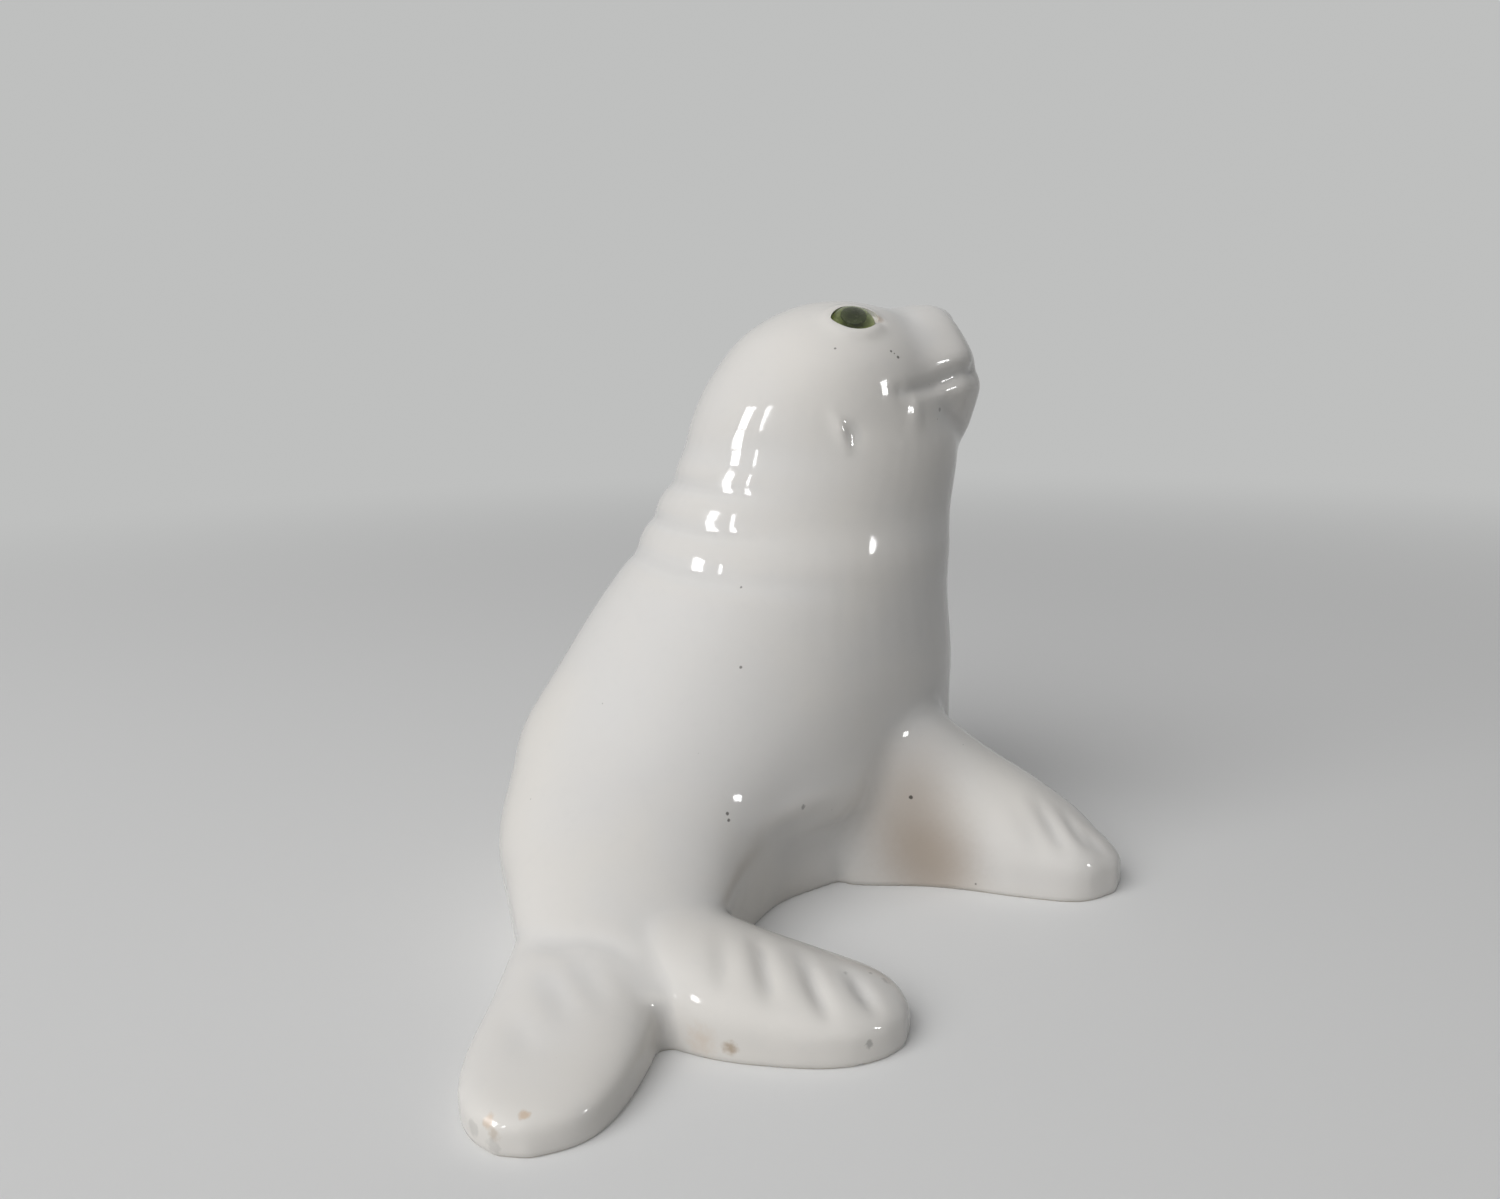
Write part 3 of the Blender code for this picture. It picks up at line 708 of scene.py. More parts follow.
    def soften(self, item: Item, joins: Sequence[Row], rounds: int) -> None:
        """Let each lump flow into the next.

        Args:
            item: The fused skin.
            joins: The places where lumps meet.
            rounds: How many times the skin is smoothed there.
        """
        places = Skin(item).places()
        weights = np.zeros(len(places))
        for x, y, z, reach in joins:
            distance = np.linalg.norm(places - np.array((x, y, z)), axis=1)
            weight = np.clip(self.join_strength - self.join_fall * distance / reach, 0.0, 1.0)
            weights = np.maximum(weights, weight)
        group = item.vertex_groups.new(name="joins")
        for index in np.nonzero(weights)[0]:
            group.add([int(index)], float(weights[index]), "REPLACE")
        apply_modifier(item, "SMOOTH", factor=0.5, iterations=rounds, vertex_group=group.name)
        item.vertex_groups.clear()

    def fuse(self, item: Item, grain: float) -> None:
        """Fuse the lumps into one skin, press the hollow beside the belly and soften the joins.

        Args:
            item: The joined lumps.
            grain: The size of the skin's faces.
        """
        apply_modifier(item, "REMESH", mode="VOXEL", voxel_size=grain * MM)
        apply_modifier(item, "SMOOTH", factor=0.5, iterations=round(self.smoothing * 2 / grain ** 2))
        self.soften(item, self.joins, round(self.join_smoothing / grain ** 2))
        Skin(item).stroke(self.belly_hollow)
        self.soften(item, self.broad_joins, round(self.broad_smoothing / grain ** 2))

    def raise_lids(self, skin: Skin, seat: "EyeSeat", socket_radius: float) -> None:
        """Raise the skin round one eye.

        Args:
            skin: The skin of the casting.
            seat: Where the eye sits.
            socket_radius: The radius of the eye's recess.
        """
        radius = socket_radius + self.lid_offset
        spread = math.radians(self.lower_lid_spread)
        downward = seat.side.value * math.pi / 2
        for start, end, rise, ends in (
                (0.0, 2 * math.pi, self.lid_rise, Ends.FULL),
                (downward - spread, downward + spread, self.lower_lid_rise, Ends.FADING)):
            ring = [seat.matrix() @ Vector((radius * math.cos(turn), radius * math.sin(turn), 0.0))
                    for turn in np.linspace(start, end, self.lid_points)]
            skin.stroke(Stroke(tuple(tuple(point) for point in ring), self.lid_width, rise, ends))

    def roughen(self, skin: Skin) -> None:
        """Give the hand finished surface its faint unevenness and round its foot."""
        places = skin.places()
        scale = 1.0 / self.unevenness_length
        swell = np.array([noise.noise(Vector(place) * scale) for place in places])
        places += skin.normals() * (self.unevenness * swell)[:, None]
        low = np.clip((self.foot_radius - places[:, 2]) / self.foot_radius, 0.0, 1.0)
        inward = self.foot_radius * (1.0 - np.sqrt(1.0 - low ** 2))
        places[:, :2] -= skin.normals()[:, :2] * inward[:, None]
        skin.place(places)

    def cut_base(self, item: Item, height: float) -> None:
        """Cut away what is below a height and close the cut.

        Args:
            item: The skin.
            height: The level of the cut.
        """
        choose(item)
        bpy.ops.object.mode_set(mode="EDIT")
        bpy.ops.mesh.select_all(action="SELECT")
        bpy.ops.mesh.bisect(plane_co=(0.0, 0.0, height * MM), plane_no=(0.0, 0.0, -1.0), use_fill=True,
                            clear_outer=True, threshold=self.cut_threshold * MM)
        bpy.ops.object.mode_set(mode="OBJECT")

    def keep_inside(self, skin: Skin) -> None:
        """Keep the skin inside the box of the solids."""
        low, high = (np.array(corner) / MM for corner in CAD_BOX)
        skin.place(np.clip(skin.places(), low, high))

    def model_cavity(self) -> Item:
        """Model the space inside the casting.

        Returns:
            The closed shape of the space.
        """
        trunk_skip, rump_skip, face_skip = self.cavity_skips
        cavity = join([
            loft("cavity", self.trunk.rings(self.wall, trunk_skip)),
            loft("rump_cavity", self.rump.rings(self.wall, rump_skip)),
            loft("face_cavity", self.face.rings(self.face_wall, face_skip)),
        ])
        apply_modifier(cavity, "REMESH", mode="VOXEL", voxel_size=self.cavity_grain * MM)
        apply_modifier(cavity, "SMOOTH", factor=0.5, iterations=self.cavity_smoothing)
        self.cut_base(cavity, self.wall)
        return cavity

    def model_vent(self) -> Item:
        """Model the round hole through the underside."""
        deselect_all()
        place = (self.vent_place[0] * MM, self.vent_place[1] * MM, self.wall / 2 * MM)
        bpy.ops.mesh.primitive_cylinder_add(vertices=RING_POINTS, radius=self.vent_diameter / 2 * MM,
                                            depth=self.vent_depth * MM, location=place)
        return bpy.context.object

    def shade(self, item: Item) -> None:
        """Shade the casting smoothly, with a crisp edge round its flat foot."""
        choose(item)
        bpy.ops.object.shade_smooth_by_angle(angle=math.radians(self.crease_angle))
        at_base = Skin(item).places()[:, 2] < self.flat_foot
        for edge in item.data.edges:
            if at_base[edge.vertices[0]] and at_base[edge.vertices[1]]:
                edge.use_edge_sharp = True

    def mark_relief(self, item: Item) -> None:
        """Store how far each place stands above or below the skin around it.

        Args:
            item: The finished casting.
        """
        skin = Skin(item)
        places = skin.places()
        rest = skin.averaged(places, self.relief_rounds)
        height = np.einsum("ij,ij->i", places - rest, skin.normals()) / self.relief_range
        height = skin.averaged(np.clip(height, -1.0, 1.0)[:, None], self.relief_softening)[:, 0]
        layer = item.data.attributes.new("relief", "FLOAT", "POINT")
        layer.data.foreach_set("value", (0.5 + 0.5 * height).astype(np.float32))

    def build(self, seats: Sequence["EyeSeat"], eye: "GlassEye") -> Item:
        """Model the whole casting.

        Args:
            seats: Where the two eyes sit.
            eye: The sizes of an eye.

        Returns:
            The casting.
        """
        grain = self.grain
        item = self.model_masses()
        self.fuse(item, grain)
        skin = Skin(item)
        for seat in seats:
            self.raise_lids(skin, seat, eye.socket_radius())
        for mark in self.all_strokes():
            skin.stroke(mark)
        self.roughen(skin)
        self.cut_base(item, 0.0)
        self.keep_inside(skin)
        for cutter in (self.model_cavity, self.model_vent):
            combine(item, cutter(), "DIFFERENCE")
        for seat in seats:
            combine(item, eye.model_cutter(seat), "DIFFERENCE")
        self.mark_relief(item)
        self.shade(item)
        return item


@dataclass(frozen=True)
class EyeSeat:
    """Where one eye sits and which way it looks."""

    side: Side
    tilt: float = 54.0
    bearing: float = 100.0
    depth: float = 3.6
    drop: float = 0.5

    def node(self) -> str:
        """Return the name of the solid that the eye stands for."""
        return "right_eye" if self.side is Side.RIGHT else "left_eye"

    def facing(self) -> Vector:
        """Return the direction that the eye looks in."""
        tilt = math.radians(self.tilt)
        bearing = math.radians(self.bearing)
        level = Vector((self.side.value * math.sin(bearing), -math.cos(bearing), 0.0))
        return level * math.cos(tilt) + Vector((0.0, 0.0, math.sin(tilt)))

    def centre(self) -> Vector:
        """Return the place of the eye on the skin, from the flat back of its solid."""
        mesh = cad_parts[self.node()].data
        places = [vertex.co / MM for vertex in mesh.vertices]
        lowest = min(place.dot(self.facing()) for place in places)
        back = [place for place in places if place.dot(self.facing()) < lowest + BACK_TOLERANCE]
        rim = {tuple(round(value, 3) for value in place) for place in back}
        middle = sum((Vector(place) for place in rim), Vector()) / len(rim)
        return middle + self.facing() * self.depth - Vector((0.0, 0.0, self.drop))

    def matrix(self) -> Matrix:
        """Return the frame of the eye in millimetres: +X towards the muzzle, +Z out of the eye."""
        facing = self.facing()
        ahead = Vector((0.0, -1.0, 0.0))
        ahead = (ahead - facing * ahead.dot(facing)).normalized()
        turn = Matrix((ahead, facing.cross(ahead), facing)).transposed().to_4x4()
        return Matrix.Translation(self.centre()) @ turn


@dataclass(frozen=True)
class GlassEye:
    """A domed glass eye with a coloured iris and a dark pupil behind the glass."""

    radius: float = 6.0
    back: float = -3.6
    dome_foot: float = -0.6
    dome_top: float = 2.6
    socket_gap: float = 0.3
    lid_gap: float = 0.1
    corner_front: float = 7.4
    corner_back: float = 6.4
    lower_opening: float = 5.9
    upper_opening: float = 5.6
    opening_foot: float = -1.3
    opening_top: float = 12.0
    opening_power: float = 0.7
    glass_back: float = -1.9
    iris_radius: float = 5.85
    iris_top: float = -1.7
    iris_bevel: float = 0.25
    pupil_radius: float = 3.1
    pupil_top: float = 0.4
    pupil_steps: tuple[tuple[float, float], ...] = ((0.2, 0.5), (0.0, 0.3), (0.0, 0.15), (0.15, 0.0))
    socket_bevel: float = 0.4
    dome_steps: int = 14
    dome_share: float = 0.97
    sides: int = 64
    crease_angle: float = 50.0

    def socket_radius(self) -> float:
        """Return the radius of the recess that the eye sits in."""
        return self.radius + self.socket_gap

    def turned(self, name: str, outline: Sequence[tuple[float, float]], seat: EyeSeat) -> Item:
        """Model a round shape by extruding a disc along its own axis.

        Args:
            name: The shape's name.
            outline: Radius and height of each ring, from the back to the front.
            seat: Where the shape goes.

        Returns:
            The shape, in its place.
        """
        radius, height = outline[0]
        item = start_disc(name, self.sides, radius * MM, height * MM)
        for wider, upper in outline[1:]:
            bpy.ops.mesh.extrude_region()
            bpy.ops.transform.translate(value=(0.0, 0.0, (upper - height) * MM))
            bpy.ops.transform.resize(value=(wider / radius, wider / radius, 1.0),
                                     center_override=(0.0, 0.0, upper * MM))
            radius, height = wider, upper
        close_shape()
        bpy.ops.object.transform_apply(location=True, rotation=False, scale=False)
        self.seat_shape(item, seat)
        bpy.ops.object.shade_smooth_by_angle(angle=math.radians(self.crease_angle))
        return item

    def seat_shape(self, item: Item, seat: EyeSeat) -> None:
        """Move a shape from the origin into its eye's place."""
        turn = seat.matrix()
        item.data.transform(Matrix.Translation(turn.translation * MM) @ turn.to_3x3().to_4x4())

    def dome(self, foot: float, top: float, radius: float) -> list[tuple[float, float]]:
        """Return the outline of a shallow dome from its rim to near its pole."""
        rise = top - foot
        curve = (radius ** 2 + rise ** 2) / (2 * rise)
        steps = np.linspace(0.0, self.dome_share, self.dome_steps)
        return [(radius * (1 - step), math.sqrt(curve ** 2 - (radius * (1 - step)) ** 2) - curve + top)
                for step in steps]

    def model_socket(self, seat: EyeSeat) -> Item:
        """Model the cutter of the recess for one eye, a little larger than the eye itself."""
        radius = self.socket_radius()
        floor = self.back - self.socket_gap
        dome = self.dome(self.dome_foot + self.lid_gap, self.dome_top + self.lid_gap, radius)
        bevel = self.socket_bevel
        return self.turned("socket", [(radius - bevel, floor), (radius, floor + bevel)] + dome, seat)

    def model_opening(self, seat: EyeSeat) -> Item:
        """Model the cutter of the almond shaped opening between the lids."""
        item = start_disc("opening", self.sides, MM)
        bm = bmesh.from_edit_mesh(item.data)
        for vert in bm.verts:
            turn = math.atan2(vert.co.y, vert.co.x)
            along, across = math.cos(turn), math.sin(turn)
            reach = self.corner_front if along > 0 else self.corner_back
            lower = across * seat.side.value > 0
            height = self.lower_opening if lower else self.upper_opening
            rise = height * (1.0 - along ** 2) ** self.opening_power * math.copysign(1.0, across)
            vert.co = Vector((reach * along, rise, self.opening_foot)) * MM
        bpy.ops.mesh.extrude_region()
        bpy.ops.transform.translate(value=(0.0, 0.0, (self.opening_top - self.opening_foot) * MM))
        close_shape()
        self.seat_shape(item, seat)
        return item

    def model_cutter(self, seat: EyeSeat) -> Item:
        """Model the recess and the opening of one eye as one shape."""
        cutter = self.model_socket(seat)
        combine(cutter, self.model_opening(seat), "UNION")
        return cutter

    def model_glass(self, seat: EyeSeat) -> Item:
        """Model the clear dome of one eye."""
        outline = [(self.radius, self.glass_back)] + self.dome(self.dome_foot, self.dome_top, self.radius)
        return self.turned(seat.node() + "_glass", outline, seat)

    def model_iris(self, seat: EyeSeat) -> Item:
        """Model the coloured disc behind the glass."""
        edge = self.iris_bevel
        outline = [(self.iris_radius - edge, self.back), (self.iris_radius, self.back + edge),
                   (self.iris_radius, self.iris_top - edge), (self.iris_radius - edge, self.iris_top)]
        return self.turned(seat.node() + "_iris", outline, seat)

    def model_pupil(self, seat: EyeSeat) -> Item:
        """Model the dark pupil, a thin disc inside the glass."""
        outline = [(self.pupil_radius - inward, self.pupil_top - below) for inward, below in self.pupil_steps]
        return self.turned(seat.node() + "_pupil", outline, seat)


class NodeSheet:
    """A node tree that is filled in line by line."""

    def __init__(self, tree: bpy.types.NodeTree) -> None:
        """Keep the tree that the nodes go into."""
        self.tree = tree

    def add(self, kind: str, inputs: dict[str | int, object] | None = None,
            **settings: object) -> bpy.types.Node:
        """Add a node.

        Args:
            kind: The node's type.
            inputs: A value or a socket for each named or numbered input.
            settings: The node's own properties.

        Returns:
            The node.
        """
        node = self.tree.nodes.new(kind)
        for name, value in settings.items():
            setattr(node, name, value)
        self.fill(node, inputs or {})
        return node

    def fill(self, node: bpy.types.Node, inputs: dict[str | int, object]) -> None:
        """Set or link some inputs of a node."""
        for key, value in inputs.items():
            if isinstance(value, Socket):
                self.tree.links.new(value, node.inputs[key])
            else:
                node.inputs[key].default_value = value

    def seen(self) -> Socket:
        """Return 1 for rays of the camera, also by way of a mirror or glass, and 0 for light."""
        path = self.add("ShaderNodeLightPath").outputs
        glassy = self.maths("MAXIMUM", path["Is Glossy Ray"], path["Is Transmission Ray"])
        return self.maths("MAXIMUM", path["Is Camera Ray"], glassy)

    def maths(self, operation: str, first: object, second: object = 0.0) -> Socket:
        """Return the result of one sum on two values or sockets."""
        return self.add("ShaderNodeMath", {0: first, 1: second}, operation=operation).outputs["Value"]

    def blend(self, share: object, first: object, second: object) -> Socket:
        """Return the mix of two colours."""
        first, second = (value if isinstance(value, Socket) else (*value, 1.0)
                         for value in (first, second))
        node = self.add("ShaderNodeMix", {"Factor": share, 6: first, 7: second}, data_type="RGBA")
        return node.outputs[2]

    def ramp(self, value: object, low: object, high: object, start: object = 0.0, end: object = 1.0,
             kind: str = "SMOOTHSTEP") -> Socket:
        """Return a value mapped from one range to another."""
        node = self.add("ShaderNodeMapRange", {"Value": value, "From Min": low, "From Max": high,
                                               "To Min": start, "To Max": end}, interpolation_type=kind)
        return node.outputs["Result"]


class SharedEffects:
    """Node groups that more than one finish uses, each built once."""

    @staticmethod
    def new_group(name: str, inputs: Sequence[tuple[str, str, object]], output: str) -> NodeSheet:
        """Start a group.

        Args:
            name: The group's name.
            inputs: Name, socket type and first value of each input.
            output: The name of its one output, a number.

        Returns:
            The sheet of the group.
        """
        tree = bpy.data.node_groups.new(name, "ShaderNodeTree")
        for label, kind, value in inputs:
            socket = tree.interface.new_socket(label, in_out="INPUT", socket_type=kind)
            if value is not None:
                socket.default_value = value
        tree.interface.new_socket(output, in_out="OUTPUT", socket_type="NodeSocketFloat")
        return NodeSheet(tree)

    def __init__(self) -> None:
        """Build every group."""
        self.patch = self.build_patch()
        self.specks = self.build_specks()
        self.waves = self.build_waves()

    def build_patch(self) -> bpy.types.NodeTree:
        """Build a ragged spot at one place: its mask is 1 inside and fades outwards."""
        sheet = self.new_group("ragged patch", (
            ("Vector", "NodeSocketVector", None),
            ("Shift", "NodeSocketVector", None),
            ("Centre", "NodeSocketVector", None),
            ("Reach", "NodeSocketFloat", 0.005),
            ("Softness", "NodeSocketFloat", 0.5),
            ("Raggedness", "NodeSocketFloat", 0.001),
        ), "Mask")
        given = sheet.add("NodeGroupInput").outputs
        scaled = sheet.add("ShaderNodeVectorMath", {0: given["Shift"], "Scale": given["Raggedness"]},
                           operation="SCALE")
        moved = sheet.add("ShaderNodeVectorMath", {0: given["Vector"], 1: scaled.outputs["Vector"]},
                          operation="ADD")
        gap = sheet.add("ShaderNodeVectorMath", {0: moved.outputs["Vector"], 1: given["Centre"]},
                        operation="DISTANCE")
        core = sheet.maths("MULTIPLY", given["Reach"], sheet.maths("SUBTRACT", 1.0, given["Softness"]))
        mask = sheet.ramp(gap.outputs["Value"], given["Reach"], core)
        sheet.add("NodeGroupOutput", {"Mask": mask})
        return sheet.tree

    def build_specks(self) -> bpy.types.NodeTree:
        """Build scattered round specks, of which only a share shows."""
        sheet = self.new_group("scattered specks", (
            ("Vector", "NodeSocketVector", None),
            ("Scale", "NodeSocketFloat", 100.0),
            ("Size", "NodeSocketFloat", 0.05),
            ("Share", "NodeSocketFloat", 0.3),
        ), "Mask")
        given = sheet.add("NodeGroupInput").outputs
        cells = sheet.add("ShaderNodeTexVoronoi", {"Vector": given["Vector"], "Scale": given["Scale"]})
        parts = sheet.add("ShaderNodeSeparateColor", {"Color": cells.outputs["Color"]})
        size = sheet.maths("MULTIPLY", given["Size"], sheet.ramp(parts.outputs["Green"], 0.0, 1.0, 0.4, 1.0))
        spot = sheet.ramp(cells.outputs["Distance"], size, sheet.maths("MULTIPLY", size, 0.6))
        shown = sheet.maths("LESS_THAN", parts.outputs["Red"], given["Share"])
        sheet.add("NodeGroupOutput", {"Mask": sheet.maths("MULTIPLY", spot, shown)})
        return sheet.tree

    def build_waves(self) -> bpy.types.NodeTree:
        """Build the slow waviness and fine peel of a fired or cast gloss surface."""
        sheet = self.new_group("gloss waves", (
            ("Vector", "NodeSocketVector", None),
            ("Long Scale", "NodeSocketFloat", 70.0),
            ("Fine Scale", "NodeSocketFloat", 400.0),
            ("Fine Share", "NodeSocketFloat", 0.1),
        ), "Height")
        given = sheet.add("NodeGroupInput").outputs
        long = sheet.add("ShaderNodeTexNoise", {"Vector": given["Vector"], "Scale": given["Long Scale"],
                                                "Detail": 1.0})
        fine = sheet.add("ShaderNodeTexNoise", {"Vector": given["Vector"], "Scale": given["Fine Scale"],
                                                "Detail": 2.0})
        height = sheet.maths("ADD", long.outputs["Fac"],
                             sheet.maths("MULTIPLY", fine.outputs["Fac"], given["Fine Share"]))
        sheet.add("NodeGroupOutput", {"Height": height})
        return sheet.tree


@dataclass(frozen=True)
class Specks:
    """Scattered specks: cells per metre, size of a speck, share of the cells and strength."""

    scale: float
    size: float
    share: float
    strength: float = 1.0


@dataclass(frozen=True)
class Waves:
    """Waviness of a gloss: coarse and fine scale per metre, share of the fine one and depth."""

    long_scale: float
    fine_scale: float
    fine_share: float
    depth: float


class MaterialSheet(NodeSheet):
    """The node tree of a new material, read at the object's own places."""

    def __init__(self, name: str) -> None:
        """Start the material.

        Args:
            name: The material's name.
        """
        self.material = bpy.data.materials.new(name)
        self.material.use_nodes = True
        super().__init__(self.material.node_tree)
        self.shader = self.tree.nodes["Principled BSDF"]
        self.place = self.add("ShaderNodeTexCoord").outputs["Object"]

    def noise(self, scale: float, detail: float, output: str = "Fac") -> Socket:
        """Return noise with a scale per metre and so many octaves of detail."""
        inputs = {"Vector": self.place, "Scale": scale, "Detail": detail}
        return self.add("ShaderNodeTexNoise", inputs).outputs[output]

    def specks(self, effects: SharedEffects, specks: Specks) -> Socket:
        """Return the mask of scattered specks, times their strength."""
        inputs = {"Vector": self.place, "Scale": specks.scale, "Size": specks.size, "Share": specks.share}
        node = self.add("ShaderNodeGroup", inputs, node_tree=effects.specks)
        return self.maths("MULTIPLY", node.outputs["Mask"], specks.strength)

    def normal(self, effects: SharedEffects, waves: Waves, pits: object = 0.0) -> Socket:
        """Return the normal of a wavy gloss.

        Args:
            effects: The shared node groups.
            waves: The waviness.
            pits: What is taken off its height.

        Returns:
            The bent normal.
        """
        inputs = {"Vector": self.place, "Long Scale": waves.long_scale, "Fine Scale": waves.fine_scale,
                  "Fine Share": waves.fine_share}
        node = self.add("ShaderNodeGroup", inputs, node_tree=effects.waves)
        height = self.maths("SUBTRACT", node.outputs["Height"], pits)
        bump = self.add("ShaderNodeBump", {"Height": height, "Strength": 1.0, "Distance": waves.depth * MM})
        return bump.outputs["Normal"]

    def finish(self, inputs: dict[str | int, object]) -> bpy.types.Material:
        """Set or link the shader's own inputs and return the material."""
        self.fill(self.shader, inputs)
        return self.material


@dataclass(frozen=True)
class Patch:
    """A stain, a tint or a patch of painted shade at one place: centre, reach, softness, raggedness, colour
    and strength.
    """

    centre: Point
    reach: float
    softness: float
    raggedness: float
    colour: Colour
    strength: float


BROWN = (0.36, 0.23, 0.11)
GREY = (0.33, 0.32, 0.30)
CLAY = (0.66, 0.53, 0.41)
# Tan of the stain at the front flipper's root, laid in with painted shade and a painted dark reflection.
TAN_STAIN_AND_SHADE = (0.36, 0.27, 0.19)
DARK = (0.07, 0.06, 0.05)


@dataclass(frozen=True)
class WhiteGlaze:
    """Glossy off white glaze with warm and cool tones, pinholes, old stains and a bare foot, and painted
    shade in the grooves, at the front flipper's root and at the eye's front corner.
    """

    warm: Colour = (0.80, 0.772, 0.728)
    cool: Colour = (0.77, 0.755, 0.735)
    thin: Colour = (0.79, 0.76, 0.72)
    # Grey that grooves darken towards, partly glaze pooled there and partly painted shade; the mottle and the
    # bare foot's sand also use it.
    pooled_and_shade: Colour = (0.69, 0.68, 0.665)
    bisque: Colour = (0.70, 0.65, 0.58)
    speck: Colour = (0.10, 0.085, 0.07)
    patches: tuple[Patch, ...] = (
        Patch((-102.6, 48.5, 3.9), 2.4, 0.8, 2.2, BROWN, 0.7),
        Patch((-99.0, 54.0, 4.4), 5.5, 1.0, 4.5, CLAY, 0.45),
        # Painted shade in the recess at the right eye's front corner.
        Patch((-15.4, -25.2, 155.4), 2.1, 0.9, 0.8, BROWN, 0.65),
        Patch((-115.6, 92.9, 7.7), 1.4, 0.6, 1.6, CLAY, 0.9),
        Patch((-113.3, 99.2, 6.4), 1.9, 0.7, 2.2, CLAY, 0.8),
        Patch((-115.0, 98.6, 4.6), 1.7, 0.7, 2.2, BROWN, 0.35),
        Patch((-110.6, 101.9, 3.8), 2.0, 0.5, 2.6, GREY, 0.25),
        Patch((-115.0, 98.9, 2.2), 2.0, 0.5, 2.6, GREY, 0.25),
        Patch((-96.7, 19.6, 12.4), 0.9, 0.6, 1.4, GREY, 0.5),
        Patch((-96.5, 13.5, 11.2), 0.8, 0.6, 1.2, GREY, 0.5),
        Patch((-98.6, 10.8, 9.8), 1.5, 0.6, 2.0, GREY, 0.5),
        Patch((-112.5, 20.6, 4.9), 1.4, 0.6, 2.2, GREY, 0.6),
        # Tan stain at the right front flipper's root, with painted shade and a painted dark reflection laid
        # in with it.
        Patch((-40.0, -25.0, 14.0), 23.0, 1.0, 2.0, TAN_STAIN_AND_SHADE, 0.62),
        Patch((-37.0, -24.0, 30.0), 20.0, 1.0, 2.0, TAN_STAIN_AND_SHADE, 0.36),
        Patch((-43.0, -31.0, 5.0), 19.0, 1.0, 2.0, TAN_STAIN_AND_SHADE, 0.5),
        Patch((-22.3, -25.3, 146.4), 0.45, 0.5, 0.5, DARK, 0.8),
        Patch((-22.4, -26.2, 145.8), 0.3, 0.5, 0.4, DARK, 0.8),
        Patch((-22.6, -27.2, 144.8), 0.55, 0.5, 0.5, DARK, 0.9),
        Patch((-19.1, -40.3, 133.7), 0.7, 0.5, 0.9, DARK, 0.8),
        Patch((-18.6, -41.6, 130.3), 0.9, 0.6, 1.0, GREY, 0.8),
        Patch((-21.5, -9.6, 147.5), 0.4, 0.5, 0.5, DARK, 0.7),
        Patch((-29.0, 20.2, 87.2), 0.5, 0.5, 0.6, DARK, 0.7),
        Patch((-37.0, 23.3, 68.0), 0.5, 0.5, 0.6, DARK, 0.7),
        Patch((-38.4, -24.4, 26.4), 0.7, 0.5, 0.6, DARK, 0.95),
        Patch((-48.0, -39.7, 2.6), 0.6, 0.5, 0.5, DARK, 0.9),
        Patch((-50.3, 31.9, 34.4), 0.6, 0.5, 0.8, DARK, 0.8),
        Patch((-51.4, 31.8, 33.1), 0.65, 0.5, 0.8, DARK, 0.8),
        Patch((-43.9, 9.3, 30.4), 0.9, 0.6, 1.4, DARK, 0.5),
        Patch((-43.5, 7.2, 39.6), 0.4, 0.5, 0.4, DARK, 0.8),
        Patch((-43.5, 7.1, 38.6), 0.4, 0.5, 0.4, DARK, 0.8),
        Patch((-98.1, 80.2, 12.3), 0.45, 0.5, 0.4, DARK, 0.8),
        Patch((-98.8, 79.5, 12.2), 0.5, 0.5, 0.4, DARK, 0.8),
        Patch((-99.2, 78.9, 12.1), 0.4, 0.5, 0.4, DARK, 0.8),
        Patch((-105.4, 87.1, 10.1), 0.4, 0.5, 0.4, DARK, 0.6),
    )
    specks: Specks = Specks(95.0, 0.035, 0.22, 0.8)
    grains: Specks = Specks(210.0, 0.05, 0.12, 0.35)
    waves: Waves = Waves(85.0, 420.0, 0.1, 0.05)
    tone_scale: float = 16.0
    smear_scale: float = 38.0
    mottle_scale: float = 260.0
    ragged_scale: float = 650.0
    sand_scale: float = 900.0
    roughness: float = 0.06
    smudge: float = 0.07
    bisque_roughness: float = 0.85
    worn_roughness: float = 0.25
    worn_from: float = 0.7
    pit_depth: float = 1.2
    foot_height: float = 0.35
    foot_fade: float = 1.4

    def lay_patches(self, sheet: MaterialSheet, effects: SharedEffects,
                    colour: Socket) -> tuple[Socket, Socket | float]:
        """Lay the stains, the tints and the patches of painted shade over a colour.

        Args:
            sheet: The material's sheet.
            effects: The shared node groups.
            colour: The colour below them.

        Returns:
            The new colour, and how worn the gloss is.
        """
        ragged = sheet.noise(self.ragged_scale, 5.0, "Color")
        shift = sheet.add("ShaderNodeVectorMath", {0: ragged, 1: (0.5, 0.5, 0.5)}, operation="SUBTRACT")
        worn: Socket | float = 0.0
        for patch in self.patches:
            group = sheet.add("ShaderNodeGroup", {
                "Vector": sheet.place, "Shift": shift.outputs["Vector"],
                "Centre": [value * MM for value in patch.centre], "Reach": patch.reach * MM,
                "Softness": patch.softness, "Raggedness": patch.raggedness * MM}, node_tree=effects.patch)
            share = sheet.maths("MULTIPLY", group.outputs["Mask"], patch.strength)
            colour = sheet.blend(share, colour, patch.colour)
            if patch.strength >= self.worn_from:
                worn = sheet.maths("MAXIMUM", share, worn)
        return colour, worn

